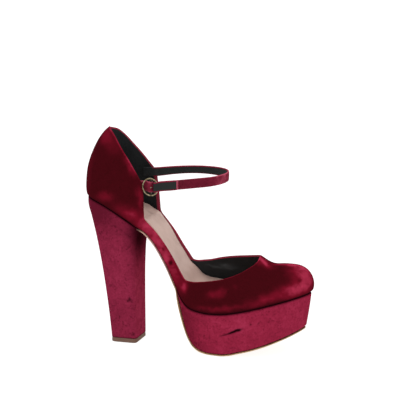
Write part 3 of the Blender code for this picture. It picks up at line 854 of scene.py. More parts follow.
class Wire:
    """A shader value that takes part in Python arithmetic; each operation adds a Math node."""

    def __init__(self, graph: "Graph", socket: bpy.types.NodeSocket) -> None:
        """Wraps one output socket of a graph."""
        self.graph = graph
        self.socket = socket

    def _math(self, operation: str, first: Any, second: Any) -> "Wire":
        """Adds one Math node.

        Args:
            operation: The node's operation.
            first: First value or wire.
            second: Second value or wire.

        Returns:
            The node's result.
        """
        return self.graph.node("ShaderNodeMath", {"operation": operation}, {0: first, 1: second})

    def __add__(self, other: Any) -> "Wire":
        """Sum."""
        return self._math("ADD", self, other)

    def __radd__(self, other: Any) -> "Wire":
        """Sum with a plain number first."""
        return self._math("ADD", other, self)

    def __sub__(self, other: Any) -> "Wire":
        """Difference."""
        return self._math("SUBTRACT", self, other)

    def __rsub__(self, other: Any) -> "Wire":
        """Difference from a plain number."""
        return self._math("SUBTRACT", other, self)

    def __mul__(self, other: Any) -> "Wire":
        """Product."""
        return self._math("MULTIPLY", self, other)

    def __rmul__(self, other: Any) -> "Wire":
        """Product with a plain number first."""
        return self._math("MULTIPLY", other, self)

    def swing(self) -> "Wire":
        """A noise about its middle, below and above 0."""
        return self - NOISE_MIDDLE

    def clamped(self) -> "Wire":
        """The value kept between 0 and 1."""
        return self.graph.node("ShaderNodeClamp", {}, {0: self})

    def between(self, low: float, high: float) -> "Wire":
        """Soft step of the value from low to high, as 0 to 1."""
        settings = {"interpolation_type": "SMOOTHSTEP", "clamp": True}
        return self.graph.node("ShaderNodeMapRange", settings, {0: self, 1: low, 2: high})


class Graph:
    """Node graph of one material, round one Principled shader."""

    def __init__(self, name: str) -> None:
        """Makes an empty material with its shader.

        Args:
            name: Name of the material.
        """
        self.material = bpy.data.materials.new(name)
        self.material.use_nodes = True
        self.tree = self.material.node_tree
        self.shader = self.tree.nodes["Principled BSDF"]
        self.place = self.node("ShaderNodeTexCoord", {}, {}, "Object")

    def node(self, kind: str, settings: dict[str, Any], inputs: dict[Any, Any], output: Any = 0) -> Wire:
        """Adds one node.

        Args:
            kind: Type of the node.
            settings: The node's own properties, set first.
            inputs: Values or wires of its sockets, by name or number.
            output: Name or number of the socket that is returned.

        Returns:
            The chosen output.
        """
        node = self.tree.nodes.new(kind)
        for name, value in settings.items():
            setattr(node, name, value)
        for key, value in inputs.items():
            self.feed(node.inputs[key], value)
        return Wire(self, node.outputs[output])

    def feed(self, socket: bpy.types.NodeSocket, value: Any) -> None:
        """Links a wire to a socket, or sets a plain value on it.

        Args:
            socket: The input socket.
            value: A wire, a number, a vector or a colour without alpha.
        """
        if isinstance(value, Wire):
            self.tree.links.new(value.socket, socket)
        elif isinstance(value, tuple) and socket.type == "RGBA":
            socket.default_value = (*value, 1.0)
        else:
            socket.default_value = value

    def set(self, **sockets: Any) -> None:
        """Feeds the shader's sockets; underscores in a name stand for spaces."""
        for name, value in sockets.items():
            self.feed(self.shader.inputs[name.replace("_", " ")], value)

    def noise(
        self, size_mm: float, detail: float = 2.0, swirl: float = 0.0, stretch: Point = (1.0, 1.0, 1.0)
    ) -> Wire:
        """Cloudy noise from 0 to 1.

        Args:
            size_mm: Size of one cloud.
            detail: Levels of finer clouds.
            swirl: How far the clouds are stirred.
            stretch: How much longer a cloud is along each axis.

        Returns:
            The noise.
        """
        squeeze = tuple(1 / value for value in stretch)
        place = self.node("ShaderNodeVectorMath", {"operation": "MULTIPLY"}, {0: self.place, 1: squeeze})
        inputs = {"Vector": place, "Scale": 1 / (size_mm * MM), "Detail": detail, "Distortion": swirl}
        return self.node("ShaderNodeTexNoise", {}, inputs)

    def mark(self, name: str) -> Wire:
        """A value carried by the mesh's points."""
        return self.node("ShaderNodeAttribute", {"attribute_name": name}, {}, "Fac")

    def mix(self, share: Any, first: Any, second: Any) -> Wire:
        """Mixes two colours.

        Args:
            share: Share of the second colour.
            first: First colour or wire.
            second: Second colour or wire.

        Returns:
            The mixed colour.
        """
        # Socket numbers of the node's factor, its two colours and its colour result
        return self.node("ShaderNodeMix", {"data_type": "RGBA"}, {0: share, 6: first, 7: second}, 2)

    def relief(self, height: Wire, depth_mm: float, strength: float) -> Wire:
        """Normal of a surface with this height map."""
        inputs = {"Height": height, "Distance": depth_mm * MM, "Strength": strength}
        return self.node("ShaderNodeBump", {}, inputs)


@dataclass(frozen=True)
class Velvet:
    """Crushed velvet: dark where the pile faces the eye, bright where it is brushed over or seen edge on, with
    painted highlights and painted shade marked on the points.
    """

    name: str
    dark: Rgb
    middle: Rgb
    bright: Rgb
    # Colour of stains and scratches, and of painted shade in the seams' grooves and on the heel under the waist
    stain_and_painted_light: Rgb = linear(30, 4, 9)
    rough: float = 0.92
    sheen: float = 0.05
    sheen_rough: float = 0.35
    sheen_tint: Rgb = linear(214, 74, 110)
    crush_mm: float = 9.0
    crush_gain: float = 0.9
    # Width of a brushed streak as a share of the crush, and how much longer it is along each axis
    streak_share: float = 0.5
    streak_stretch: Point = (3.0, 1.0, 1.0)
    streak_gain: float = 0.5
    speck_mm: float = 1.8
    speck_gain: float = 0.06
    fleck_mm: float = 2.6
    fleck_span: Span = (0.56, 0.68)
    fleck_gain: float = 0.05
    pile_mm: float = 0.45
    relief_mm: float = 0.12
    relief_strength: float = 0.8
    # Shares of crush, pile and specks in the relief
    relief_shares: tuple[float, float, float] = (0.6, 0.25, 0.15)

    def material(self) -> bpy.types.Material:
        """Builds the finish.

        Returns:
            The material.
        """
        graph = Graph(self.name)
        crush = graph.noise(self.crush_mm, detail=3.0, swirl=0.8)
        streak = graph.noise(self.crush_mm * self.streak_share, swirl=0.3, stretch=self.streak_stretch)
        speck = graph.noise(self.speck_mm)
        pile = graph.noise(self.pile_mm, detail=1.0)
        brushed = 1 + crush.swing() * self.crush_gain + streak.swing() * self.streak_gain
        fleck = graph.noise(self.fleck_mm, swirl=1.4).between(*self.fleck_span)
        # The points carry the nap's brightness: the crushed pile together with painted highlights and painted
        # shade
        light = graph.mark("nap_and_painted_light") * brushed + speck.swing() * self.speck_gain - fleck * self.fleck_gain
        # Dark to middle over the first half of the light, middle to bright over the second
        colour = graph.mix((light * 2).clamped(), self.dark, self.middle)
        colour = graph.mix((light * 2 - 1).clamped(), colour, self.bright)
        # Stains and scratches, with painted shade in the seams' grooves and on the heel under the waist
        colour = graph.mix(graph.mark("stain_and_painted_light").clamped(), colour, self.stain_and_painted_light)
        crushed, piled, specked = self.relief_shares
        height = crush * crushed + pile * piled + speck * specked
        graph.set(
            Base_Color=colour,
            Roughness=self.rough,
            Specular_IOR_Level=0.0,
            Sheen_Weight=self.sheen,
            Sheen_Roughness=self.sheen_rough,
            Sheen_Tint=self.sheen_tint,
            Normal=graph.relief(height, self.relief_mm, self.relief_strength),
        )
        return graph.material


@dataclass(frozen=True)
class Hide:
    """Smooth leather or leather-like sheet with fine grain, soft clouding, a little dirt, and painted shade and
    highlights where they are marked.
    """

    name: str
    colour: Rgb
    worn: Rgb
    # Colour of dirt and scuffs, and of painted light where marked: shade on the sock and the sole, highlights
    # on the lining's puckers
    stain_and_painted_light: Rgb
    rough: float = 0.5
    grain_mm: float = 0.5
    relief_mm: float = 0.06
    cloud_mm: float = 14.0
    worn_span: Span = (0.3, 0.75)
    grain_rough: float = 0.2
    cloud_rough: float = 0.12
    relief_strength: float = 0.7
    # Shares of grain and clouds in the relief
    relief_shares: tuple[float, float] = (0.7, 0.3)
    # Colour, width and soft edge of the fold of velvet along a rim
    trim: Rgb | None = None
    trim_mm: float = 0.8
    trim_soft: float = 0.15
    blush: Rgb | None = None

    def material(self) -> bpy.types.Material:
        """Builds the finish, with the fold of velvet along a rim and the paler blush where it has them.

        Returns:
            The material.
        """
        graph = Graph(self.name)
        cloud = graph.noise(self.cloud_mm, detail=3.0, swirl=0.4)
        grain = graph.noise(self.grain_mm)
        colour = graph.mix(cloud.between(*self.worn_span), self.colour, self.worn)
        if self.blush:
            colour = graph.mix(graph.mark("blush").clamped(), colour, self.blush)
        colour = graph.mix(graph.mark("stain_and_painted_light").clamped(), colour, self.stain_and_painted_light)
        if self.trim:
            past = graph.mark("rim").between(self.trim_mm - self.trim_soft, self.trim_mm + self.trim_soft)
            colour = graph.mix(past, self.trim, colour)
        rough = self.rough + grain.swing() * self.grain_rough + cloud.swing() * self.cloud_rough
        grained, clouded = self.relief_shares
        graph.set(
            Base_Color=colour,
            Roughness=rough.clamped(),
            Specular_IOR_Level=0.25,
            Normal=graph.relief(grain * grained + cloud * clouded, self.relief_mm, self.relief_strength),
        )
        return graph.material


@dataclass(frozen=True)
class AgedBrass:
    """Antique brass: dull brown and rubbed bright in soft clouds."""

    name: str = "aged_brass"
    dull: Rgb = linear(96, 86, 65)
    rubbed: Rgb = linear(164, 151, 124)
    rubbed_span: Span = (0.35, 0.7)
    rough: float = 0.3
    cloud_mm: float = 2.2
    cloud_rough: float = 0.3
    scratch_mm: float = 0.35
    scratch_stretch: Point = (1.0, 1.0, 4.0)
    scratch_rough: float = 0.2
    relief_mm: float = 0.03
    relief_strength: float = 0.5

    def material(self) -> bpy.types.Material:
        """Builds the finish.

        Returns:
            The material.
        """
        graph = Graph(self.name)
        cloud = graph.noise(self.cloud_mm, detail=3.0, swirl=0.5)
        scratch = graph.noise(self.scratch_mm, stretch=self.scratch_stretch)
        rough = self.rough + cloud.swing() * self.cloud_rough + scratch.swing() * self.scratch_rough
        graph.set(
            Base_Color=graph.mix(cloud.between(*self.rubbed_span), self.dull, self.rubbed),
            Roughness=rough.clamped(),
            Metallic=1.0,
            Normal=graph.relief(scratch, self.relief_mm, self.relief_strength),
        )
        return graph.material


@dataclass(frozen=True)
class Finishes:
    """The materials of the whole shoe, made once."""

    upper: bpy.types.Material
    cover: bpy.types.Material
    heel: bpy.types.Material
    band: bpy.types.Material
    lining: bpy.types.Material
    tail: bpy.types.Material
    sock: bpy.types.Material
    sole: bpy.types.Material
    lift: bpy.types.Material
    brass: bpy.types.Material
    painted_shade_brass: bpy.types.Material

    @classmethod
    def make(cls) -> "Finishes":
        """Builds every finish of the shoe.

        Returns:
            The finishes.
        """
        upper = Velvet("upper_velvet", linear(54, 8, 13), linear(104, 14, 31), linear(160, 44, 70))
        cover = Velvet(
            "cover_velvet",
            linear(92, 18, 35),
            linear(132, 31, 55),
            linear(156, 46, 74),
            crush_mm=7.0,
            crush_gain=1.3,
            streak_gain=0.2,
            speck_gain=0.45,
            fleck_gain=0.27,
            fleck_mm=3.2,
        )
        heel = replace(
            cover,
            name="heel_velvet",
            dark=linear(86, 19, 36),
            middle=linear(124, 33, 57),
            bright=linear(150, 48, 76),
        )
        band = Velvet(
            "strap_velvet",
            linear(62, 14, 24),
            linear(106, 28, 45),
            linear(172, 78, 98),
            crush_mm=6.0,
            fleck_gain=0.2,
        )
        lining = Hide(
            "black_lining",
            linear(26, 28, 29),
            linear(32, 34, 35),
            # Paler colour of the painted highlights on the puckers' ridges
            linear(66, 70, 72),
            rough=0.72,
            grain_mm=0.4,
            relief_mm=0.1,
            trim=linear(140, 36, 58),
            trim_mm=0.6,
        )
        tail = Hide(
            "black_backing",
            linear(17, 20, 19),
            linear(23, 26, 25),
            linear(56, 54, 52),
            rough=0.75,
            relief_mm=0.08,
        )
        sock = Hide("sock_leather", linear(186, 158, 147), linear(176, 148, 137), linear(112, 98, 92))
        sole = Hide(
            "sole_tan",
            linear(192, 158, 118),
            linear(172, 138, 100),
            linear(62, 32, 34),
            rough=0.6,
            blush=linear(202, 159, 155),
        )
        lift = Hide(
            "lift_rubber",
            linear(106, 80, 67),
            linear(96, 71, 59),
            linear(58, 45, 38),
            rough=0.8,
            grain_mm=0.6,
        )
        brass = AgedBrass()
        # Darker copy of the brass for the centre bar: painted shade, as the bar lies in the shade of the tab
        # and the ring
        painted_shade_brass = AgedBrass("painted_shade_brass", linear(44, 38, 30), linear(74, 66, 52))
        kinds = (upper, cover, heel, band, lining, tail, sock, sole, lift, brass, painted_shade_brass)
        return cls(*(kind.material() for kind in kinds))


def place(piece: bpy.types.Object, slot: str, *nodes: str) -> bpy.types.Object:
    """Puts a finished piece on the frame.

    Args:
        piece: The piece, already where it belongs.
        slot: Name of the record's material slot; not used.
        nodes: Solids of the frame that it stands for.

    Returns:
        The same piece.
    """
    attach(piece, BODY)
    if nodes:
        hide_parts(*nodes)
    return piece


@dataclass
class Upper:
    """Velvet upper: closed counter, low band along the waist and closed vamp, lined in black."""

    last: Last
    wall: float = 1.7
    columns: int = 215
    rows: int = 86
    row_ease: float = 1.15
    rim: float = 0.45
    corner: float = 3.0
    nap_and_painted_light: float = 0.03
    # Painted highlight along the rim of the opening: its strength and its reach
    rim_highlight: float = 0.5
    rim_highlight_reach: float = 0.35
    stir: float = 1.8
    # Swell of the counter's back: depth, height of its middle, reach up and down, where it fades out
    belly: float = 1.3
    belly_z: float = 166.0
    belly_reach: float = 16.0
    belly_x: Span = (2.0, 26.0)
    # Reach of the feather line, and the share of it under which an open edge counts as topline
    seam_reach: float = 1.5
    seam_share: float = 0.01
    # Open waist: where it begins, is full, starts to end and is over
    waist_x: tuple[float, float, float, float] = (50.0, 60.0, 94.0, 100.0)
    # Along the waist: share of the rim's painted highlight that is missing, and share of the distance from the
    # rim that is taken off, which makes the lining's trim wider there
    waist_dull: float = 0.8
    waist_trim: float = 0.8
    tuck: Tuck = Tuck()
    # Front edge of the counter: outer x, inner x
    front_x: tuple[float, float] = (64.0, 64.2)
    # Collar of the counter in side view: x, outer z, inner z
    collar_rows: Rows = (
        (-5.0, 202.2, 202.2),
        (20.0, 202.2, 202.2),
        (24.0, 202.2, 199.8),
        (28.0, 201.4, 195.8),
        (31.0, 199.4, 192.7),
        (34.0, 196.0, 189.5),
        (38.0, 190.0, 184.8),
        (43.0, 182.5, 179.5),
        (48.0, 175.4, 174.0),
        (53.0, 167.5, 168.4),
        (57.0, 161.0, 164.0),
        (61.0, 154.2, 159.4),
        (63.4, 149.0, 154.0),
        (66.4, 129.0, 134.0),
    )
    # Top edge of the band and the vamp's sides in side view: x, outer z, inner z
    edge_rows: Rows = (
        (58.0, 127.0, 126.8),
        (61.5, 123.2, 122.2),
        (66.0, 119.0, 118.0),
        (72.0, 113.0, 112.0),
        (80.0, 103.4, 102.6),
        (87.0, 93.8, 91.6),
        (93.0, 84.6, 82.0),
        (97.5, 77.6, 75.4),
        (101.0, 72.2, 74.8),
        (104.0, 68.4, 75.0),
        (107.0, 67.2, 75.4),
        (112.0, 66.9, 76.0),
        (123.0, 68.2, 78.6),
        (136.0, 70.4, 81.0),
        (148.0, 73.6, 82.8),
        (157.0, 77.4, 84.2),
        (162.0, 80.2, 85.4),
        (165.2, 82.4, 86.2),
        (167.4, 84.6, 86.6),
    )
    # Throat seen from above: distance out from the spine, how far forward the opening reaches there
    throat_rows: Rows = (
        (0.0, 167.4),
        (5.0, 167.6),
        (9.0, 167.5),
        (13.0, 167.1),
        (17.0, 165.7),
        (20.0, 164.1),
        (23.5, 161.5),
        (28.0, 156.4),
        (31.0, 150.2),
        (33.4, 141.0),
        (36.0, 128.0),
        (60.0, 60.0),
    )
    folds: tuple[Fold, ...] = (
        Fold(((168.0, -3.0, 86.5), (172.5, -7.0, 83.5), (176.0, -12.0, 80.0)), 2.2, 0.7),
        Fold(((171.0, 2.0, 85.0), (177.0, -3.0, 82.0), (183.0, -7.0, 81.0)), 3.0, -0.7),
        Fold(((98.0, -27.5, 68.0), (101.0, -29.0, 62.5), (104.0, -31.0, 57.0)), 2.5, 0.6),
        Fold(((86.5, -24.7, 86.0), (89.5, -25.4, 83.0)), 1.5, -0.7),
        Fold(((81.0, -24.2, 96.0), (84.0, -24.6, 93.0)), 1.6, -0.5),
        Fold(((56.0, -24.5, 118.0), (60.0, -24.8, 128.0), (59.0, -24.3, 142.0)), 3.0, 0.35),
        Fold(((20.0, -23.5, 146.0), (33.0, -26.0, 137.0), (46.0, -27.0, 129.0)), 4.0, 0.5),
    )
    # Brightness of the nap over the upper: the crushed pile's light and dark patches together with painted
    # highlights where the velvet catches the light, on the collar, the band, the vamp, the toe and the throat;
    # the negative patches beside the creases are painted shade in their troughs
    patches: tuple[Patch | Fold, ...] = (
        Patch((25.0, -13.0, 196.0), (9.0, 12.0, 8.0), 0.42),
        Patch((34.0, -19.0, 186.0), (8.0, 10.0, 7.0), 0.16),
        Fold(((45.0, -21.8, 177.5), (50.2, -22.3, 169.8), (55.0, -22.6, 161.0)), 2.6, 0.44),
        Fold(((33.0, -24.0, 165.0), (38.0, -24.0, 163.0)), 0.8, 0.16),
        Fold(((58.6, -23.4, 152.0), (60.4, -24.2, 142.0), (61.4, -25.0, 130.0)), 2.6, 0.40),
        Fold(((54.6, -24.0, 150.0), (56.4, -24.6, 142.0)), 1.2, 0.16),
        Patch((27.0, -26.5, 141.0), (8.0, 8.0, 4.5), 0.30),
        Patch((8.0, -14.0, 160.0), (4.0, 10.0, 30.0), 0.08),
        Fold(
            ((37.0, -27.2, 132.5), (46.7, -27.1, 127.6), (56.0, -26.4, 123.5), (63.0, -25.5, 119.5)),
            width=5.2,
            height=0.44,
        ),
        Fold(
            ((58.0, -26.0, 122.0), (66.2, -25.2, 116.5), (77.4, -24.3, 100.9), (87.0, -24.5, 84.7)),
            width=8.0,
            height=0.78,
        ),
        Fold(
            ((78.0, -24.3, 99.0), (87.1, -24.5, 84.7), (95.6, -27.2, 69.0), (101.0, -29.0, 60.0)),
            width=7.0,
            height=0.55,
        ),
        Patch((89.5, -25.2, 83.0), (1.7, 6.0, 2.0), -0.90),
        Patch((82.9, -24.2, 94.7), (1.2, 6.0, 1.4), -0.60),
        Patch((72.0, -24.6, 106.5), (2.2, 6.0, 1.6), -0.30),
        Patch((104.0, -30.0, 62.0), (4.0, 8.0, 4.6), 0.52),
        Fold(((128.6, -37.2, 57.8), (134.0, -36.8, 58.6), (141.6, -36.0, 61.6)), 3.4, 0.32),
        Patch((130.4, -37.0, 57.0), (3.6, 8.0, 3.8), 0.16),
        Patch((140.4, -36.2, 60.6), (4.2, 8.0, 4.2), 0.20),
        Fold(((142.0, -36.0, 62.0), (148.0, -35.6, 66.0)), 1.3, 0.20),
        Fold(((151.0, -34.0, 69.0), (155.0, -33.4, 64.0)), 1.6, 0.10),
        Fold(
            ((116.0, -36.0, 45.0), (136.7, -40.4, 45.2), (151.0, -41.0, 48.0), (164.0, -40.0, 51.0)),
            width=2.0,
            height=0.36,
        ),
        Fold(((166.0, -38.6, 51.6), (185.6, -31.8, 57.4), (199.0, -23.0, 61.8)), 4.2, 0.52),
        Fold(((182.0, -33.0, 61.0), (195.0, -25.0, 66.0)), 3.0, 0.16),
        Patch((202.0, -20.0, 63.6), (7.0, 8.0, 6.0), 0.42),
        Fold(
            ((200.0, -22.0, 61.0), (209.5, -12.0, 65.0), (214.6, -1.0, 67.5), (213.5, 9.0, 70.0)),
            width=7.5,
            height=0.78,
        ),
        Patch((207.6, -10.6, 70.6), (1.8, 3.0, 2.4), -0.40),
        Patch((207.0, 0.0, 77.0), (11.0, 16.0, 8.0), 0.68),
        Fold(((176.0, 8.0, 81.0), (190.0, 6.0, 81.6), (208.0, 4.0, 78.5)), 4.4, 0.85),
        Fold(((166.0, 0.0, 87.0), (172.6, 0.0, 82.8), (180.0, -6.0, 79.0)), 4.2, 0.62),
        Patch((170.6, -1.0, 84.6), (5.0, 9.0, 5.0), 0.50),
        Patch((204.0, 22.0, 70.0), (14.0, 12.0, 10.0), 0.45),
        Patch((150.0, 42.0, 58.0), (24.0, 10.0, 6.0), 0.35),
        Patch((48.0, 27.0, 128.0), (10.0, 8.0, 6.0), 0.35),
        Patch((78.0, 22.0, 99.0), (16.0, 8.0, 18.0), 0.70),
    )
    # Painted highlights on the ridges of the lining's puckers, in the lining's paler colour
    lining_pucker_highlights: tuple[Patch | Fold, ...] = (
        Fold(((108.0, 25.0, 71.0), (116.3, 28.6, 68.6), (123.0, 30.6, 67.0)), 1.2, 0.7),
        Fold(((121.0, 29.0, 71.0), (126.0, 30.6, 69.0), (132.0, 32.0, 69.5)), 1.3, 0.9),
        Fold(((124.0, 31.0, 66.6), (130.0, 32.2, 66.0), (137.0, 33.4, 68.0)), 1.0, 0.6),
        Patch((127.0, 31.0, 68.4), (9.0, 6.0, 4.0), 0.45),
    )

    def margin(self, side: Side, s: np.ndarray, points: np.ndarray) -> np.ndarray:
        """How far inside the upper's outline each point lies, negative in the openings.

        Args:
            side: Side of the foot.
            s: Distance along the feather edge of each point's rib.
            points: Points of the ribs.

        Returns:
            One value for each point.
        """
        column = 1 if side is Side.OUTER else 2
        collar = np.array(self.collar_rows).T
        edge = np.array(self.edge_rows).T
        x, y, z = points.T
        above = LevelSpline(collar[0], collar[column])(x) - z
        behind = self.last.s_at(self.front_x[column - 1]) - s
        counter = -smooth_max(-above, -behind, self.corner)
        below = LevelSpline(edge[0], edge[column])(x) - z
        ahead = x - LevelSpline(*np.array(self.throat_rows).T)(np.abs(y - self.last.spine_y(s)))
        return smooth_max(counter, np.maximum(below, ahead), self.corner)

    def outside(self) -> Surface:
        """Works out the show side of the upper.

        Returns:
            The surface, cut to its outline.
        """
        angle = math.pi / 2 * np.linspace(0, 1, self.rows + 1) ** self.row_ease
        s = np.linspace(0, self.last.length, self.columns + 1)
        points = []
        margins = []
        for side, along in ((Side.OUTER, s), (Side.INNER, s[-2:0:-1])):
            ribs = self.last.rib(side, along, angle[None, :], self.tuck)
            points.append(ribs)
            margins.append(self.margin(side, np.repeat(along, len(angle)), ribs))
        faces = Surface.grid(2 * self.columns, self.rows + 1, closed=True)
        return Surface(np.concatenate(points), faces).trimmed(np.concatenate(margins))

    def build(self, finishes: Finishes) -> list[bpy.types.Object]:
        """Builds the lined upper and puts it on the frame.

        Args:
            finishes: Materials of the shoe.

        Returns:
            The upper.
        """
        outside = self.outside().pressed(self.folds)
        x, _, z = outside.points.T
        swell = np.exp(-(((z - self.belly_z) / self.belly_reach) ** 2))
        outside.points[:, 0] -= self.belly * swell * (1 - ramp(x, *self.belly_x))
        ends = outside.points[np.unique(outside.edges())]
        topline = ends[self.last.seam(ends, self.seam_reach) < self.seam_share]
        outside.values["rim"] = outside.away_from(topline)
        shell = outside.shell(self.wall, self.rim)
        open_waist = plateau(shell.points[:, 0], self.waist_x)
        # Painted highlight along the rim, left out along the open waist
        line = np.exp(-((shell.values["rim"] / self.rim_highlight_reach) ** 2))
        nap_and_painted_light = self.nap_and_painted_light + self.rim_highlight * line * (1 - self.waist_dull * open_waist)
        shell.values["rim"] = shell.values["rim"] * (1 - self.waist_trim * open_waist)
        # Painted shade in the groove along the feather line, in the stain colour
        seam = self.last.seam(shell.points, self.seam_reach) * (1 - open_waist)
        shell.marked("nap_and_painted_light", nap_and_painted_light, self.patches, self.stir)
        shell.marked("stain_and_painted_light", seam, self.lining_pucker_highlights, self.stir)
        piece = shell.piece("upper_velvet", self.last, [finishes.upper, finishes.lining], sharp_deg=60.0)
        return [place(piece, "velvet_upper", "upper")]


@dataclass
class Sock:
    """Pale leather footbed from heel to toe, with a soft rolled rim."""

    last: Last
    inset: float = 2.7
    rows: int = 190
    across: int = 33
    roll: float = 1.4
    roll_steps: int = 5
    # Height above the feather line up to which the sides take the black lining finish: painted shade where the
    # sides show through the gaps round the upper
    painted_shade_rise: float = 2.2
    dish: float = 0.5
    # Lower inner edge along the waist: depth, how close it keeps to the edge, and where it begins, is full,
    # starts to end and is over
    inner_drop: float = 1.2
    drop_power: int = 4
    drop_x: tuple[float, float, float, float] = (62.0, 70.0, 96.0, 104.0)
    # Thickness across the slope: x, thickness
    thick_rows: Rows = (
        (0.0, 4.5),
        (30.0, 5.0),
        (46.0, 7.6),
        (58.0, 9.8),
        (71.5, 8.5),
        (84.0, 7.5),
        (94.0, 8.4),
        (103.0, 13.6),
        (112.0, 16.4),
        (126.0, 15.2),
        (160.0, 13.0),
        (219.0, 9.0),
    )
    folds: tuple[Fold, ...] = (
        Fold(((55.0, 6.0, 124.0), (61.0, 6.2, 121.4), (66.0, 6.0, 119.2)), 2.2, -0.4),
        Fold(((97.0, -10.0, 73.0), (98.5, 8.0, 71.5)), 4.0, -0.3),
    )
    # The first is painted shadow along the crease by the counter's front, the second darkens the footbed beside
    # the inner wall there, and the last two are dirt at the heel and under the ball
    stains_and_painted_shade: tuple[Patch, ...] = (
        Patch((60.0, 6.0, 121.8), (4.5, 2.6, 4.0), 0.34),
        Patch((54.0, 12.0, 124.0), (4.0, 8.0, 4.0), 0.22),
        Patch((30.0, 0.0, 134.0), (16.0, 13.0, 9.0), 0.12),
        Patch((135.0, 2.0, 55.0), (18.0, 18.0, 9.0), 0.12),
    )

    def build(self, finishes: Finishes) -> list[bpy.types.Object]:
        """Builds the footbed and puts it on the frame.

        Args:
            finishes: Materials of the shoe.

        Returns:
            The footbed.
        """
        s = np.linspace(0, self.last.length, self.rows)
        turns = np.linspace(0, math.pi / 2, self.roll_steps)
        rolls = [(self.roll * (1 - math.sin(t)), self.roll * (1 - math.cos(t))) for t in turns]
        sheets = []
        for extra, drop in rolls + [(0.0, None)]:
            plan = self.last.strip(s, self.inset + extra, self.across)
            x = plan[:, 0]
            height = self.last.footbed(x) + self.last.gap / 2
            if drop is not None:
                thick = LevelSpline(*np.array(self.thick_rows).T)(x)
                share = np.tile(np.linspace(-1, 1, self.across), self.rows)
                inner_edge = np.clip(share, 0, 1) ** self.drop_power
                dish = self.dish * (1 - share**2) + self.inner_drop * plateau(x, self.drop_x) * inner_edge
                height = height + (thick - drop - dish) / self.last.cosine(self.last.footbed, x)
            sheets.append(np.column_stack([plan, height]))
        board = Surface.stack(sheets, Surface.grid(self.rows, self.across))
        middle = board.points[board.faces].mean(axis=1)
        # Painted shade: the low sides take the lining's black
        sides = middle[:, 2] < self.last.footbed(middle[:, 0]) + self.painted_shade_rise
        board.slots[sides] = Skin.BACK.value
        board.pressed(self.folds).marked("stain_and_painted_light", 0.0, self.stains_and_painted_shade).marked("rim", CLEAR_OF_RIM, ())
        piece = board.piece("sock_footbed", self.last, [finishes.sock, finishes.lining])
        return [place(piece, "sock_leather", "insole")]


@dataclass
class Platform:
    """Velvet-covered block under the forefoot, drawn in toward the floor."""

    last: Last
    start_x: float = 94.7
    inset: float = 0.6
    draft: float = 4.4
    draft_power: float = 1.3
    least_height: float = 0.8
    rows: int = 260
    across: int = 9
    levels: int = 58
    # How much closer the rows stand at the block's back, and the levels at its top and bottom
    row_crowd: float = 0.25
    level_crowd: float = 0.5
    edge_round: float = 1.8
    seam_reach: float = 1.4
    nap_and_painted_light: float = 0.5
    folds: tuple[Fold, ...] = (
        Fold(((140.0, -36.7, 20.0), (150.0, -36.9, 23.8), (158.3, -36.5, 27.0)), 0.9, -0.7),
        Fold(((154.0, -36.8, 25.6), (160.0, -36.4, 27.8)), 1.5, -0.6),
        Fold(((158.3, -36.5, 27.0), (164.3, -35.6, 30.8)), 1.2, 0.4),
    )
    # The first two are painted shade at the block's back under the waist; the last two make the side and the
    # front a little lighter
    patches: tuple[Patch, ...] = (
        Patch((103.0, -30.0, 27.0), (17.0, 12.0, 28.0), -0.40, 1.0),
        Patch((116.0, -33.0, 6.0), (14.0, 12.0, 7.0), -0.14),
        Patch((152.0, -37.0, 30.0), (26.0, 12.0, 9.0), 0.10),
        Patch((203.0, -14.0, 40.0), (9.0, 12.0, 14.0), 0.10),
    )
    # Here all of them are real: the wedge-shaped scratch and small scuffs
    stains_and_painted_shade: tuple[Patch | Fold, ...] = (
        Fold(((139.6, -36.7, 19.7), (149.0, -36.8, 23.2), (158.0, -36.5, 27.0)), 0.6, 1.2),
        Fold(((149.0, -36.8, 23.6), (154.0, -36.8, 25.6), (161.5, -36.3, 28.6)), 1.1, 1.2),
        Patch((157.0, -36.5, 26.8), (2.6, 3.0, 1.3), 0.8),
        Patch((168.5, -34.6, 32.6), (1.0, 3.0, 0.7), 0.8),
        Patch((175.0, -33.5, 33.4), (0.9, 3.0, 0.8), 0.6),
        Patch((149.5, -37.0, 9.0), (1.2, 3.0, 0.9), 0.4),
    )

    def build(self, finishes: Finishes) -> list[bpy.types.Object]:
        """Builds the covered block and puts it on the frame.

        Args:
            finishes: Materials of the shoe.

        Returns:
            The block.
        """
        last = self.last
        start = last.s_at(self.start_x)
        share = np.linspace(0, 1, self.rows)
        s = start + (last.length - start) * ((1 - self.row_crowd) * share + self.row_crowd * share**2)
        even = np.linspace(0, 1, self.levels)
        sheets = []
        for level in ease(even) * self.level_crowd + even * (1 - self.level_crowd):
            inset = self.inset + self.draft * level**self.draft_power
            x = last.strip(s, inset, self.across)[:, 0]
            top = last.footbed(x) - last.gap / 2
            lift = (last.sole_thick + last.gap) / last.cosine(last.sole, x)
            bottom = np.minimum(last.sole(x) + lift, top - self.least_height)
            near = np.minimum(level, 1 - level) * np.mean(top - bottom) / self.edge_round
            pulled = self.edge_round * (1 - math.sqrt(1 - max(1 - near, 0.0) ** 2))
            plan = last.strip(s, inset + pulled, self.across)
            sheets.append(np.column_stack([plan, top + (bottom - top) * level]))
        block = Surface.stack(sheets, Surface.grid(self.rows, self.across)).pressed(self.folds)
        # Painted shade in the groove along the seam under the upper
        seam = last.seam(block.points, self.seam_reach)
        block.marked("nap_and_painted_light", self.nap_and_painted_light, self.patches).marked("stain_and_painted_light", seam, self.stains_and_painted_shade)
        piece = block.piece("platform_cover", last, [finishes.cover])
        return [place(piece, "velvet_cover", "platform")]


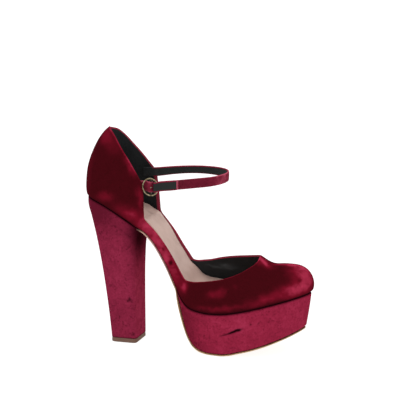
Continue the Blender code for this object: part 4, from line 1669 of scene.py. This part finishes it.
@dataclass
class SoleSheet:
    """Thin tan sheet from the heel breast along the waist, down the platform's back and under it."""

    last: Last
    start_x: float = 56.7
    # From here on the sheet keeps this far under the footbed line
    under_x: float = 92.7
    under_room: float = 1.5
    # Inset of the edge at the waist, how much more it is under the platform, and where that taper runs
    waist_inset: float = 0.5
    taper: float = 5.0
    taper_x: Span = (90.0, 106.0)
    rows: int = 240
    across: int = 13
    thick: float = 0.8
    # Rounding of the edge, and the share of the thickness that it takes at each face
    edge_round: float = 0.3
    edge_share: float = 0.3
    # The first two are scuffs under the ball; the third is painted shade where the sheet starts in the shade of
    # the counter and heel
    stains_and_painted_shade: tuple[Patch, ...] = (
        Patch((137.0, 0.0, 0.0), (13.0, 26.0, 4.0), 0.45),
        Patch((160.0, 10.0, 3.0), (18.0, 20.0, 6.0), 0.2),
        Patch((56.0, 0.0, 112.6), (5.4, 80.0, 8.0), 1.0),
    )
    blush: tuple[Fold, ...] = (
        Fold(
            ((57.0, -25.0, 112.0), (72.0, -24.5, 98.0), (84.0, -24.5, 80.0), (96.0, -27.0, 58.0)),
            width=9.0,
            height=1.0,
        ),
        Fold(
            ((57.0, 24.0, 112.0), (72.0, 22.0, 98.0), (84.0, 21.5, 80.0), (96.0, 24.0, 58.0)),
            width=9.0,
            height=1.0,
        ),
    )

    def inset(self, x: np.ndarray) -> np.ndarray:
        """How far the edge stands in: almost flush at the waist, tapered under the platform."""
        return self.waist_inset + self.taper * ramp(x, *self.taper_x)

    def build(self, finishes: Finishes) -> list[bpy.types.Object]:
        """Builds the sheet and puts it on the frame.

        Args:
            finishes: Materials of the shoe.

        Returns:
            The sheet.
        """
        last = self.last
        s = np.linspace(last.s_at(self.start_x), last.length, self.rows)
        levels = (
            (0.0, self.edge_round),
            (self.edge_share, 0.0),
            (1 - self.edge_share, 0.0),
            (1.0, self.edge_round),
        )
        sheets = []
        for share, pulled in levels:
            plan = last.strip(s, self.inset(last.x(s)) + pulled, self.across)
            x = plan[:, 0]
            low = last.sole(x)
            high = low + self.thick / last.cosine(last.sole, x)
            ceiling = last.footbed(x) - last.gap / 2 - np.where(x > self.under_x, self.under_room, 0.0)
            high = np.minimum(high, ceiling)
            sheets.append(np.column_stack([plan, high + (low - high) * share]))
        sheet = Surface.stack(sheets, Surface.grid(self.rows, self.across))
        sheet.marked("stain_and_painted_light", 0.0, self.stains_and_painted_shade).marked("blush", 0.0, self.blush)
        piece = sheet.piece("sole_sheet", last, [finishes.sole])
        return [place(piece, "sole_sheet", "outsole")]


@dataclass
class Heel:
    """Tall velvet-covered block heel with its brown top lift."""

    last: Last
    seat_end_x: float = 56.0
    seat_inset: float = 0.6
    lift_thick: float = 4.0
    rows: int = 70
    across: int = 17
    levels: int = 110
    # Front corners: radius at the lift, radius at the seat, how soon it shrinks below the seat, points on one
    foot_corner: float = 3.4
    seat_corner: float = 9.0
    corner_power: float = 1.5
    turns: int = 12
    # Share of a section's length that its round back takes, and share of the heel's height over which the
    # seat's plan gives way to the rows below
    back_share: float = 0.5
    seat_blend: float = 0.12
    seat_round: float = 1.1
    round_steps: int = 4
    seam_reach: float = 1.3
    # Top lift: rounding at the floor, and how far its top is drawn in
    lift_round: float = 0.4
    lift_tuck: float = 0.2
    # Dark line above the lift: reach and strength
    foot_line: float = 0.7
    foot_dark: float = 0.7
    nap_and_painted_light: float = 0.42
    # Heel below its seat: share of the way down, back edge, breast, half width, squareness of the back
    heel_rows: Rows = (
        (0.00, 1.5, 56.0, 25.0, 2.2),
        (0.06, 3.3, 54.7, 23.7, 2.3),
        (0.14, 6.1, 53.3, 22.0, 2.4),
        (0.27, 10.7, 52.5, 19.8, 2.8),
        (0.48, 16.5, 52.2, 17.4, 3.4),
        (0.70, 21.4, 52.2, 16.2, 4.2),
        (0.88, 24.7, 52.3, 15.5, 5.0),
        (1.00, 26.5, 52.3, 15.3, 5.4),
    )
    # The first is painted shade at the heel's top under the counter, and the last is painted light on the
    # breast face, which faces away from the key light; the middle two make the middle a little lighter and the
    # foot a little darker
    patches: tuple[Patch, ...] = (
        Patch((18.0, -20.0, 126.0), (20.0, 14.0, 18.0), -0.50, 1.0),
        Patch((38.0, -17.0, 70.0), (12.0, 8.0, 40.0), 0.08),
        Patch((28.0, -16.0, 25.0), (10.0, 8.0, 20.0), -0.06),
        Patch((52.6, 0.0, 44.0), (1.6, 22.0, 46.0), 0.28, 1.0),
    )
    # The first three are painted shadow that the waist casts on the heel's side and breast; the rest are small
    # real marks
    stains_and_painted_shade: tuple[Patch | Fold, ...] = (
        Patch((54.0, -20.0, 111.0), (13.0, 12.0, 13.0), 0.50, 1.0),
        Patch((54.0, -11.0, 96.0), (7.0, 12.0, 20.0), 0.42, 1.0),
        Patch((54.0, 6.0, 101.0), (6.0, 22.0, 20.0), 0.76, 1.0),
        Patch((46.5, -16.0, 42.5), (1.4, 3.0, 2.4), 0.8),
        Patch((44.6, -16.2, 40.4), (1.0, 3.0, 1.2), 0.7),
        Patch((48.4, -15.8, 40.0), (0.9, 3.0, 1.1), 0.6),
        Patch((49.8, -15.0, 8.6), (1.2, 3.0, 1.7), 0.6),
    )

    def __post_init__(self) -> None:
        """Lays out the heel's seat, whose points every level below follows."""
        end = self.last.s_at(self.seat_end_x)
        turns = np.linspace(0, math.pi / 2, self.turns)[:-1]
        sides = np.linspace(0, end - self.seat_corner, self.rows)[:-1]
        self.s = np.concatenate([sides, end - self.seat_corner * (1 - np.sin(turns)), [end]])
        self.count = len(self.s)
        self.seat = self.last.strip(self.s, self.seat_inset, self.across)
        self.along = (self.seat[:, 0] - self.seat[0, 0]) / (self.seat[-1, 0] - self.seat[0, 0])
        self.over = np.tile(np.linspace(-1, 1, self.across), self.count)
        self.faces = Surface.grid(self.count, self.across)

    def section(self, down: float, pulled: float = 0.0) -> np.ndarray:
        """Plan points of the heel at one level.

        Args:
            down: Share of the way from the seat to the lift.
            pulled: How far the seat's edge is drawn in.

        Returns:
            One x, y row for each point of the seat.
        """
        table = np.array(self.heel_rows).T
        back, breast, half_y, square = (LevelSpline(table[0], column)(down) for column in table[1:])
        x = back + (breast - back) * self.along
        near = np.clip(self.along / self.back_share, 0, 1)
        half = half_y * (1 - (1 - near) ** square) ** (1 / square)
        blend = float(ramp(np.array(down), 0.0, self.seat_blend))
        plan = np.column_stack([x, half * self.over])
        plan = plan * blend + self.last.strip(self.s, self.seat_inset + pulled, self.across) * (1 - blend)
        corner = self.foot_corner + (self.seat_corner - self.foot_corner) * (1 - down) ** self.corner_power
        past = np.clip(plan[:, 0] - plan[:, 0].max() + corner, 0, corner)
        trim = corner - np.sqrt(corner**2 - past**2)
        rows = plan[:, 1].reshape(self.count, self.across)
        middle = np.repeat((rows[:, 0] + rows[:, -1]) / 2, self.across)
        wide = np.repeat(np.maximum((rows[:, -1] - rows[:, 0]) / 2, self.foot_corner), self.across)
        plan[:, 1] = middle + (plan[:, 1] - middle) * np.maximum(1 - trim / wide, 0)
        return plan

    def cover(self, finishes: Finishes) -> bpy.types.Object:
        """Builds the velvet-covered block.

        Args:
            finishes: Materials of the shoe.

        Returns:
            The block.
        """
        top = self.last.footbed(self.seat[:, 0]) - self.last.gap / 2
        foot = self.lift_thick + self.last.gap
        tall = float(np.mean(top) - foot)
        rounding = self.seat_round / tall * np.linspace(0, 1, self.round_steps + 1)[:-1]
        sheets = []
        for down in np.concatenate([rounding, np.linspace(self.seat_round / tall, 1, self.levels)]):
            near = max(1 - down * tall / self.seat_round, 0.0)
            pulled = self.seat_round * (1 - math.sqrt(1 - near**2))
            sheets.append(np.column_stack([self.section(down, pulled), top + (foot - top) * down]))
        block = Surface.stack(sheets, self.faces)
        # Painted shade along the seam under the upper; the dark line above the lift is added to it
        seam = self.last.seam(block.points, self.seam_reach)
        seam = seam + self.foot_dark * np.exp(-(((block.points[:, 2] - foot) / self.foot_line) ** 2))
        block.marked("nap_and_painted_light", self.nap_and_painted_light, self.patches).marked("stain_and_painted_light", seam, self.stains_and_painted_shade)
        return block.piece("heel_cover", self.last, [finishes.heel])

    def top_lift(self, finishes: Finishes) -> bpy.types.Object:
        """Builds the slab that the heel stands on.

        Args:
            finishes: Materials of the shoe.

        Returns:
            The slab.
        """
        plan = self.section(1.0)
        middle = plan.mean(axis=0)
        half = np.abs(plan - middle).max(axis=0)
        levels = ((self.lift_thick, self.lift_tuck), (self.lift_round, 0.0), (0.0, self.lift_round))
        sheets = []
        for height, pulled in levels:
            shrunk = middle + (plan - middle) * (1 - pulled / half)
            sheets.append(np.column_stack([shrunk, np.full(len(plan), height)]))
        slab = Surface.stack(sheets, self.faces).marked("stain_and_painted_light", 0.0, ())
        return slab.piece("heel_top_lift", self.last, [finishes.lift], sharp_deg=30.0)

    def build(self, finishes: Finishes) -> list[bpy.types.Object]:
        """Builds the covered heel and the lift and puts them on the frame.

        Args:
            finishes: Materials of the shoe.

        Returns:
            The heel and the lift.
        """
        heel = place(self.cover(finishes), "velvet_cover", "heel")
        lift = place(self.top_lift(finishes), "lift_rubber", "heel_lift")
        return [heel, lift]


@dataclass
class Band:
    """Flat band that stands on its edge along a line: velvet on its show side, black on its back."""

    last: Last
    name: str
    slot: str
    node: str
    rows: Rows
    width: float
    thick: float
    nap_and_painted_light: float
    # Steps along the line: to a millimetre, and at least between two rows
    density: float = 4.0
    least_steps: int = 4
    # Section: velvet turned over to the back, swell of the show side, points on the show side and on an edge
    turned: float = 0.35
    bulge: float = 0.15
    show_points: int = 9
    edge_points: int = 7
    flip: bool = False
    # Inner end, dressed as the counter's lining: up to which x, and the last stretch where only its back is
    lined_to_x: float = 0.0
    edge_shows: float = 5.0
    # Cut end of the band: length, brightness and reach
    cut_edge: float = 0.0
    cut_nap: float = 0.7
    cut_reach: Point = (0.6, 8.0, 30.0)
    # Painted highlight along the edges: brightness, and how close it keeps to the edge
    edge_highlight: float = 0.6
    edge_power: int = 12
    patches: tuple[Patch, ...] = ()

    def path(self) -> tuple[np.ndarray, np.ndarray]:
        """Middle line of the band with its lean.

        Returns:
            Points of the line, and the lean at each in degrees.
        """
        table = np.array(self.rows)
        step = np.linalg.norm(np.diff(table[:, :3], axis=0), axis=1)
        knots = np.concatenate([[0], np.cumsum(np.sqrt(step))])
        at = []
        for i, length in enumerate(step):
            count = max(self.least_steps, int(round(self.density * length)))
            at.extend(np.linspace(knots[i], knots[i + 1], count + 1)[:-1])
        at = np.array(at + [knots[-1]])
        curves = [NaturalSpline(knots, column)(at) for column in table.T]
        return np.column_stack(curves[:3]), curves[3]

    def profile(self) -> tuple[np.ndarray, np.ndarray]:
        """Cross section of the band, across its width and its thickness.

        Returns:
            Corner points of the section in turn, and the finish slot of the side that follows each.
        """
        half_w = self.width / 2
        half_t = self.thick / 2
        flat = half_w - half_t
        inner = flat - self.turned
        across = np.linspace(-flat, flat, self.show_points)
        show = [(u, half_t + self.bulge * (1 - (u / flat) ** 2)) for u in across]
        turns = np.linspace(math.pi / 2, -math.pi / 2, self.edge_points)[1:-1]
        top = [(flat + half_t * math.cos(t), half_t * math.sin(t)) for t in turns]
        black = (inner, inner / 2, 0.0, -inner / 2, -inner)
        back = [(u, -half_t) for u in (flat, *black, -flat)]
        low = [(-flat - half_t * math.cos(t), half_t * math.sin(t)) for t in turns[::-1]]
        points = np.array(show + top + back + low)
        slots = np.full(len(points), Skin.SHOW.value)
        first = len(show) + len(top) + 1
        slots[first : first + len(black) - 1] = Skin.BACK.value
        if self.flip:
            points[:, 1] = -points[:, 1]
        return points, slots

    def surface(self) -> Surface:
        """Works out the closed band with its slots and its nap.

        Returns:
            The band.
        """
        path, lean_deg = self.path()
        ahead = np.gradient(path, axis=0)
        ahead[:, 2] = 0
        ahead = unit(ahead)
        side = np.column_stack([ahead[:, 1], -ahead[:, 0], np.zeros(len(path))])
        lean = np.radians(lean_deg)[:, None]
        up = np.array([0.0, 0.0, 1.0]) * np.cos(lean) + side * np.sin(lean)
        out = np.cross(up, ahead)
        profile, slots = self.profile()
        around = len(profile)
        rings = path[:, None] + up[:, None] * profile[None, :, :1] + out[:, None] * profile[None, :, 1:]
        band = Surface.tube(path, rings)
        face_slots = np.tile(slots, len(path) - 1).reshape(-1, around)
        lined = (path[:-1, 0] < self.lined_to_x) & (path[:-1, 1] > 0)
        hidden = lined & (path[:-1, 0] < self.lined_to_x - self.edge_shows)
        inside = (face_slots == Skin.BACK.value) & lined[:, None]
        face_slots[inside | hidden[:, None]] = Skin.LINED.value
        to_end = np.linalg.norm(path - path[-1], axis=1)
        face_slots[to_end[:-1] < self.cut_edge] = Skin.SHOW.value
        ends = (Skin.LINED if lined[0] else Skin.SHOW, Skin.SHOW)
        end_slots = np.repeat([skin.value for skin in ends], around)
        band.slots = np.concatenate([face_slots.reshape(-1), end_slots])
        edge = self.edge_highlight * np.abs(profile[:, 0] / profile[:, 0].max()) ** self.edge_power
        nap_and_painted_light = np.tile(self.nap_and_painted_light + edge, len(path))
        band.values["nap_and_painted_light"] = np.concatenate([nap_and_painted_light, np.full(len(ends), self.nap_and_painted_light)])
        return band

    def build(self, finishes: Finishes) -> list[bpy.types.Object]:
        """Builds the band and puts it on the frame.

        Args:
            finishes: Materials of the shoe.

        Returns:
            The band.
        """
        end = Patch(self.rows[-1][:3], self.cut_reach, self.cut_nap if self.cut_edge else 0.0)
        band = self.surface()
        band.marked("nap_and_painted_light", band.values["nap_and_painted_light"], (end, *self.patches)).marked("rim", CLEAR_OF_RIM, ())
        piece = band.piece(self.name, self.last, [finishes.band, finishes.tail, finishes.lining])
        return [place(piece, self.slot, self.node)]


# Ankle strap: x, y, z, lean in degrees; inner end, round the front, outer side, fold in the ring, tail
STRAP_ROWS: Rows = (
    (49.0, 19.9, 157.4, 7.0),
    (55.0, 18.9, 157.8, 8.0),
    (60.6, 18.0, 158.2, 10.0),
    (67.0, 19.2, 158.8, 14.0),
    (74.2, 22.6, 159.4, 20.0),
    (85.2, 26.0, 160.2, 26.0),
    (99.2, 27.8, 160.8, 27.0),
    (113.2, 25.8, 161.0, 22.0),
    (125.2, 19.8, 161.0, 12.0),
    (133.2, 11.0, 160.9, 2.0),
    (136.6, 0.0, 160.6, -3.0),
    (134.4, -11.6, 160.0, -4.0),
    (127.2, -21.4, 159.2, -2.0),
    (116.2, -27.8, 158.4, 0.0),
    (104.2, -30.2, 157.0, 0.0),
    (93.2, -28.9, 155.4, 0.0),
    (84.2, -27.1, 154.1, 0.0),
    (79.2, -25.8, 153.1, 0.0),
    (76.8, -25.6, 152.4, 0.0),
    (75.0, -27.5, 152.2, 0.0),
    (76.8, -29.4, 152.4, 0.0),
    (79.2, -29.6, 153.1, 0.0),
    (84.2, -30.0, 154.1, 0.0),
    (91.2, -31.2, 155.1, 0.0),
    (98.7, -32.4, 156.4, 0.0),
)

# Buckle tab: x, y, z, lean in degrees; end inside the counter, outer layer, fold round the bar, return
TAB_ROWS: Rows = (
    (53.0, -20.3, 151.0, 6.0),
    (58.4, -19.4, 151.4, 6.0),
    (62.6, -18.9, 151.7, 5.0),
    (65.8, -20.9, 151.9, 3.0),
    (68.3, -24.3, 152.0, 1.0),
    (70.8, -26.6, 152.0, 0.0),
    (72.8, -25.0, 152.0, 0.0),
    (71.0, -23.35, 152.0, 0.0),
    (68.4, -21.7, 152.0, 2.0),
)


@dataclass
class RingBuckle:
    """Round brass ring with its centre bar and the root of its prong."""

    last: Last
    centre: Point = (71.0, -26.2, 152.0)
    radius: float = 7.8
    wire: float = 0.7
    turn_deg: float = -10.0
    ring_steps: int = 96
    # Centre bar: radius, how far toward the ankle it stands, how late it bends back to the ring, points on it
    bar_radius: float = 0.6
    bar_inset: float = 1.2
    bar_power: int = 6
    bar_points: int = 25
    prong_radius: float = 0.55
    prong_points: int = 13
    # Prong past the bar: forward, toward the ankle
    prong_rows: Rows = ((1.3, 0.0), (1.8, -1.5), (1.9, -2.9))
    sides: int = 14

    def spot(self, along: float, up: float, inward: float) -> np.ndarray:
        """Point in the ring's own frame.

        Args:
            along: Forward in the ring's plane.
            up: Upward.
            inward: Toward the ankle.

        Returns:
            The point in last millimetres.
        """
        turn = math.radians(self.turn_deg)
        forward = np.array([math.cos(turn), math.sin(turn), 0.0])
        toward = np.array([-math.sin(turn), math.cos(turn), 0.0])
        return np.array(self.centre) + forward * along + np.array([0.0, 0.0, up]) + toward * inward

    def tube(self, path: np.ndarray, radius: float, closed: bool) -> Surface:
        """Round wire along a path.

        Args:
            path: Middle line of the wire.
            radius: Radius of the wire.
            closed: Whether the wire joins its own start.

        Returns:
            The closed wire.
        """
        if closed:
            ahead = np.roll(path, -1, axis=0) - np.roll(path, 1, axis=0)
        else:
            ahead = np.gradient(path, axis=0)
        ahead = unit(ahead)
        facing = self.spot(0, 0, -1) - self.spot(0, 0, 0)
        side = unit(np.cross(ahead, facing))
        other = np.cross(ahead, side)
        angle = np.linspace(0, 2 * math.pi, self.sides + 1)[None, :-1, None]
        rings = path[:, None] + radius * (side[:, None] * np.cos(angle) + other[:, None] * np.sin(angle))
        return Surface.tube(path, rings, closed)

    def build(self, finishes: Finishes) -> list[bpy.types.Object]:
        """Builds the ring, its bar and its prong and puts them on the frame.

        Args:
            finishes: Materials of the shoe.

        Returns:
            The three pieces.
        """
        turns = np.linspace(0, 2 * math.pi, self.ring_steps + 1)[:-1]
        circle = np.array([self.spot(self.radius * math.cos(t), self.radius * math.sin(t), 0) for t in turns])
        ups = np.linspace(-1, 1, self.bar_points)
        bar = np.array([self.spot(0, self.radius * u, self.bar_inset * (1 - u**self.bar_power)) for u in ups])
        table = np.array([(0.0, self.bar_inset), *self.prong_rows])
        knots = np.arange(len(table))
        at = np.linspace(knots[0], knots[-1], self.prong_points)
        reach, depth = (NaturalSpline(knots, column)(at) for column in table.T)
        prong = np.array([self.spot(along, 0, inward) for along, inward in zip(reach, depth)])
        pieces = []
        for name, path, radius, closed, finish in (
            ("ring_wire", circle, self.wire, True, finishes.brass),
            ("ring_bar", bar, self.bar_radius, False, finishes.painted_shade_brass),
            ("ring_prong", prong, self.prong_radius, False, finishes.brass),
        ):
            piece = self.tube(path, radius, closed).piece(name, self.last, [finish])
            nodes = ("buckle",) if closed else ()
            pieces.append(place(piece, "ring_metal", *nodes))
        return pieces


@dataclass(frozen=True)
class Lamp:
    """One soft studio light aimed at the shoe."""

    name: str
    at: Point
    size: float
    watts: float
    tint: Rgb = (1.0, 1.0, 1.0)

    def build(self, aim: Vector) -> bpy.types.Object:
        """Builds the light and turns it to its aim.

        Args:
            aim: Point that the light faces.

        Returns:
            The light.
        """
        light = bpy.data.lights.new(self.name, "AREA")
        light.shape = "DISK"
        light.size = self.size
        light.energy = self.watts
        light.color = self.tint
        obj = bpy.data.objects.new(self.name, light)
        obj.location = self.at
        obj.rotation_euler = (aim - obj.location).to_track_quat("-Z", "Y").to_euler()
        bpy.context.scene.collection.objects.link(obj)
        return obj


@dataclass
class Studio:
    """White floor and world, soft lights and the camera at the photograph's angle, for a square frame of 400
    pixels.
    """

    azimuth_deg: float = 17.0
    elevation_deg: float = 12.6
    distance: float = 1.5
    aim: Point = (0.0, 0.0, 0.095)
    aim_pixel: tuple[float, float] = (198.8, 244.6)
    frame_pixels: float = 400.0
    pixels_per_metre: float = 1080.0
    sensor_mm: float = 36.0
    floor_side: float = 12.0
    world_strength: float = 1.0
    # Floor: size of its clouds, their two tones and its glow
    floor_cloud_mm: float = 400.0
    floor_tones: tuple[Rgb, Rgb] = (linear(144, 144, 144), linear(152, 152, 152))
    floor_glow: float = 0.85
    lamps: tuple[Lamp, ...] = (
        Lamp("key_light", (-0.7, -1.1, 1.5), 0.9, 6.0),
        Lamp("fill_light", (1.3, -0.9, 0.9), 1.0, 3.0),
        Lamp("top_light", (0.2, 0.5, 1.7), 1.0, 5.0),
    )

    def axes(self) -> tuple[Vector, Vector, Vector]:
        """Works out the directions of the view.

        Returns:
            Right, up and back.
        """
        a = math.radians(self.azimuth_deg)
        e = math.radians(self.elevation_deg)
        right = Vector((math.cos(a), math.sin(a), 0.0))
        up = Vector((-math.sin(a) * math.sin(e), math.cos(a) * math.sin(e), math.cos(e)))
        back = Vector((math.sin(a) * math.cos(e), -math.cos(a) * math.cos(e), math.sin(e)))
        return right, up, back

    def camera(self) -> bpy.types.Object:
        """Builds the camera, turned so that the aim falls on its pixel.

        Returns:
            The camera.
        """
        right, up, back = self.axes()
        data = bpy.data.cameras.new("camera")
        data.sensor_width = self.sensor_mm
        data.lens = self.sensor_mm * self.distance * self.pixels_per_metre / self.frame_pixels
        data.clip_start = 0.01
        obj = bpy.data.objects.new("camera", data)
        obj.location = Vector(self.aim) + back * self.distance
        middle = self.frame_pixels / 2
        off_right = (middle - self.aim_pixel[0]) / self.pixels_per_metre
        off_up = (self.aim_pixel[1] - middle) / self.pixels_per_metre
        looked_at = Vector(self.aim) + right * off_right + up * off_up
        obj.rotation_euler = (looked_at - obj.location).to_track_quat("-Z", "Y").to_euler()
        bpy.context.scene.collection.objects.link(obj)
        bpy.context.scene.camera = obj
        return obj

    def floor(self) -> bpy.types.Object:
        """Builds the pale floor.

        Returns:
            The floor.
        """
        half = self.floor_side / 2
        mesh = bpy.data.meshes.new("floor")
        corners = [(-half, -half, 0), (half, -half, 0), (half, half, 0), (-half, half, 0)]
        mesh.from_pydata(corners, [], [(0, 1, 2, 3)])
        graph = Graph("pale_floor")
        graph.set(
            Base_Color=graph.mix(graph.noise(self.floor_cloud_mm), *self.floor_tones),
            Roughness=0.9,
            Specular_IOR_Level=0.1,
            Emission_Color=(1.0, 1.0, 1.0),
            Emission_Strength=self.floor_glow,
        )
        mesh.materials.append(graph.material)
        obj = bpy.data.objects.new("floor", mesh)
        bpy.context.scene.collection.objects.link(obj)
        return obj

    def build(self) -> None:
        """Builds the whole studio."""
        scene = bpy.context.scene
        world = bpy.data.worlds.new("soft_white")
        world.use_nodes = True
        backdrop = world.node_tree.nodes["Background"]
        backdrop.inputs["Color"].default_value = (1.0, 1.0, 1.0, 1.0)
        backdrop.inputs["Strength"].default_value = self.world_strength
        scene.world = world
        scene.view_settings.view_transform = "Standard"
        self.floor()
        for lamp in self.lamps:
            lamp.build(Vector(self.aim))
        self.camera()


def frame_shift(heel_back_x: float) -> np.ndarray:
    """Where the frame's origin lies in the last's axes, read from the heel lift.

    Args:
        heel_back_x: The heel's back edge at the floor, in the last's axes.

    Returns:
        The shift from the last's axes to the frame, in millimetres.
    """
    low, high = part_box("heel_lift")
    return np.array([heel_back_x - low.x / MM, -(low.y + high.y) / 2 / MM, 0.0])


def main() -> None:
    """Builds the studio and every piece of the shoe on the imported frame."""
    logging.basicConfig(level=logging.INFO, format="%(message)s")
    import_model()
    Studio().build()
    last = Last(frame_shift(Heel.heel_rows[-1][1]))
    finishes = Finishes.make()
    strap = Band(
        last,
        "strap_band",
        "velvet_strap",
        "ankle_strap",
        STRAP_ROWS,
        width=9.0,
        thick=1.4,
        nap_and_painted_light=0.3,
        lined_to_x=64.0,
        cut_edge=0.7,
        patches=(Patch((134.0, -8.0, 160.0), (14.0, 16.0, 20.0), 0.3),),
    )
    tab = Band(
        last,
        "tab_band",
        "velvet_strap",
        "buckle_tab",
        TAB_ROWS,
        width=9.4,
        thick=1.2,
        nap_and_painted_light=0.48,
        flip=True,
    )
    body = (Upper(last), Sock(last), Platform(last), SoleSheet(last), Heel(last))
    for part in (*body, strap, tab, RingBuckle(last)):
        for piece in part.build(finishes):
            mesh = piece.data
            LOG.info("%s: %d points, %d faces", piece.name, len(mesh.vertices), len(mesh.polygons))


if __name__ == "__main__":
    main()
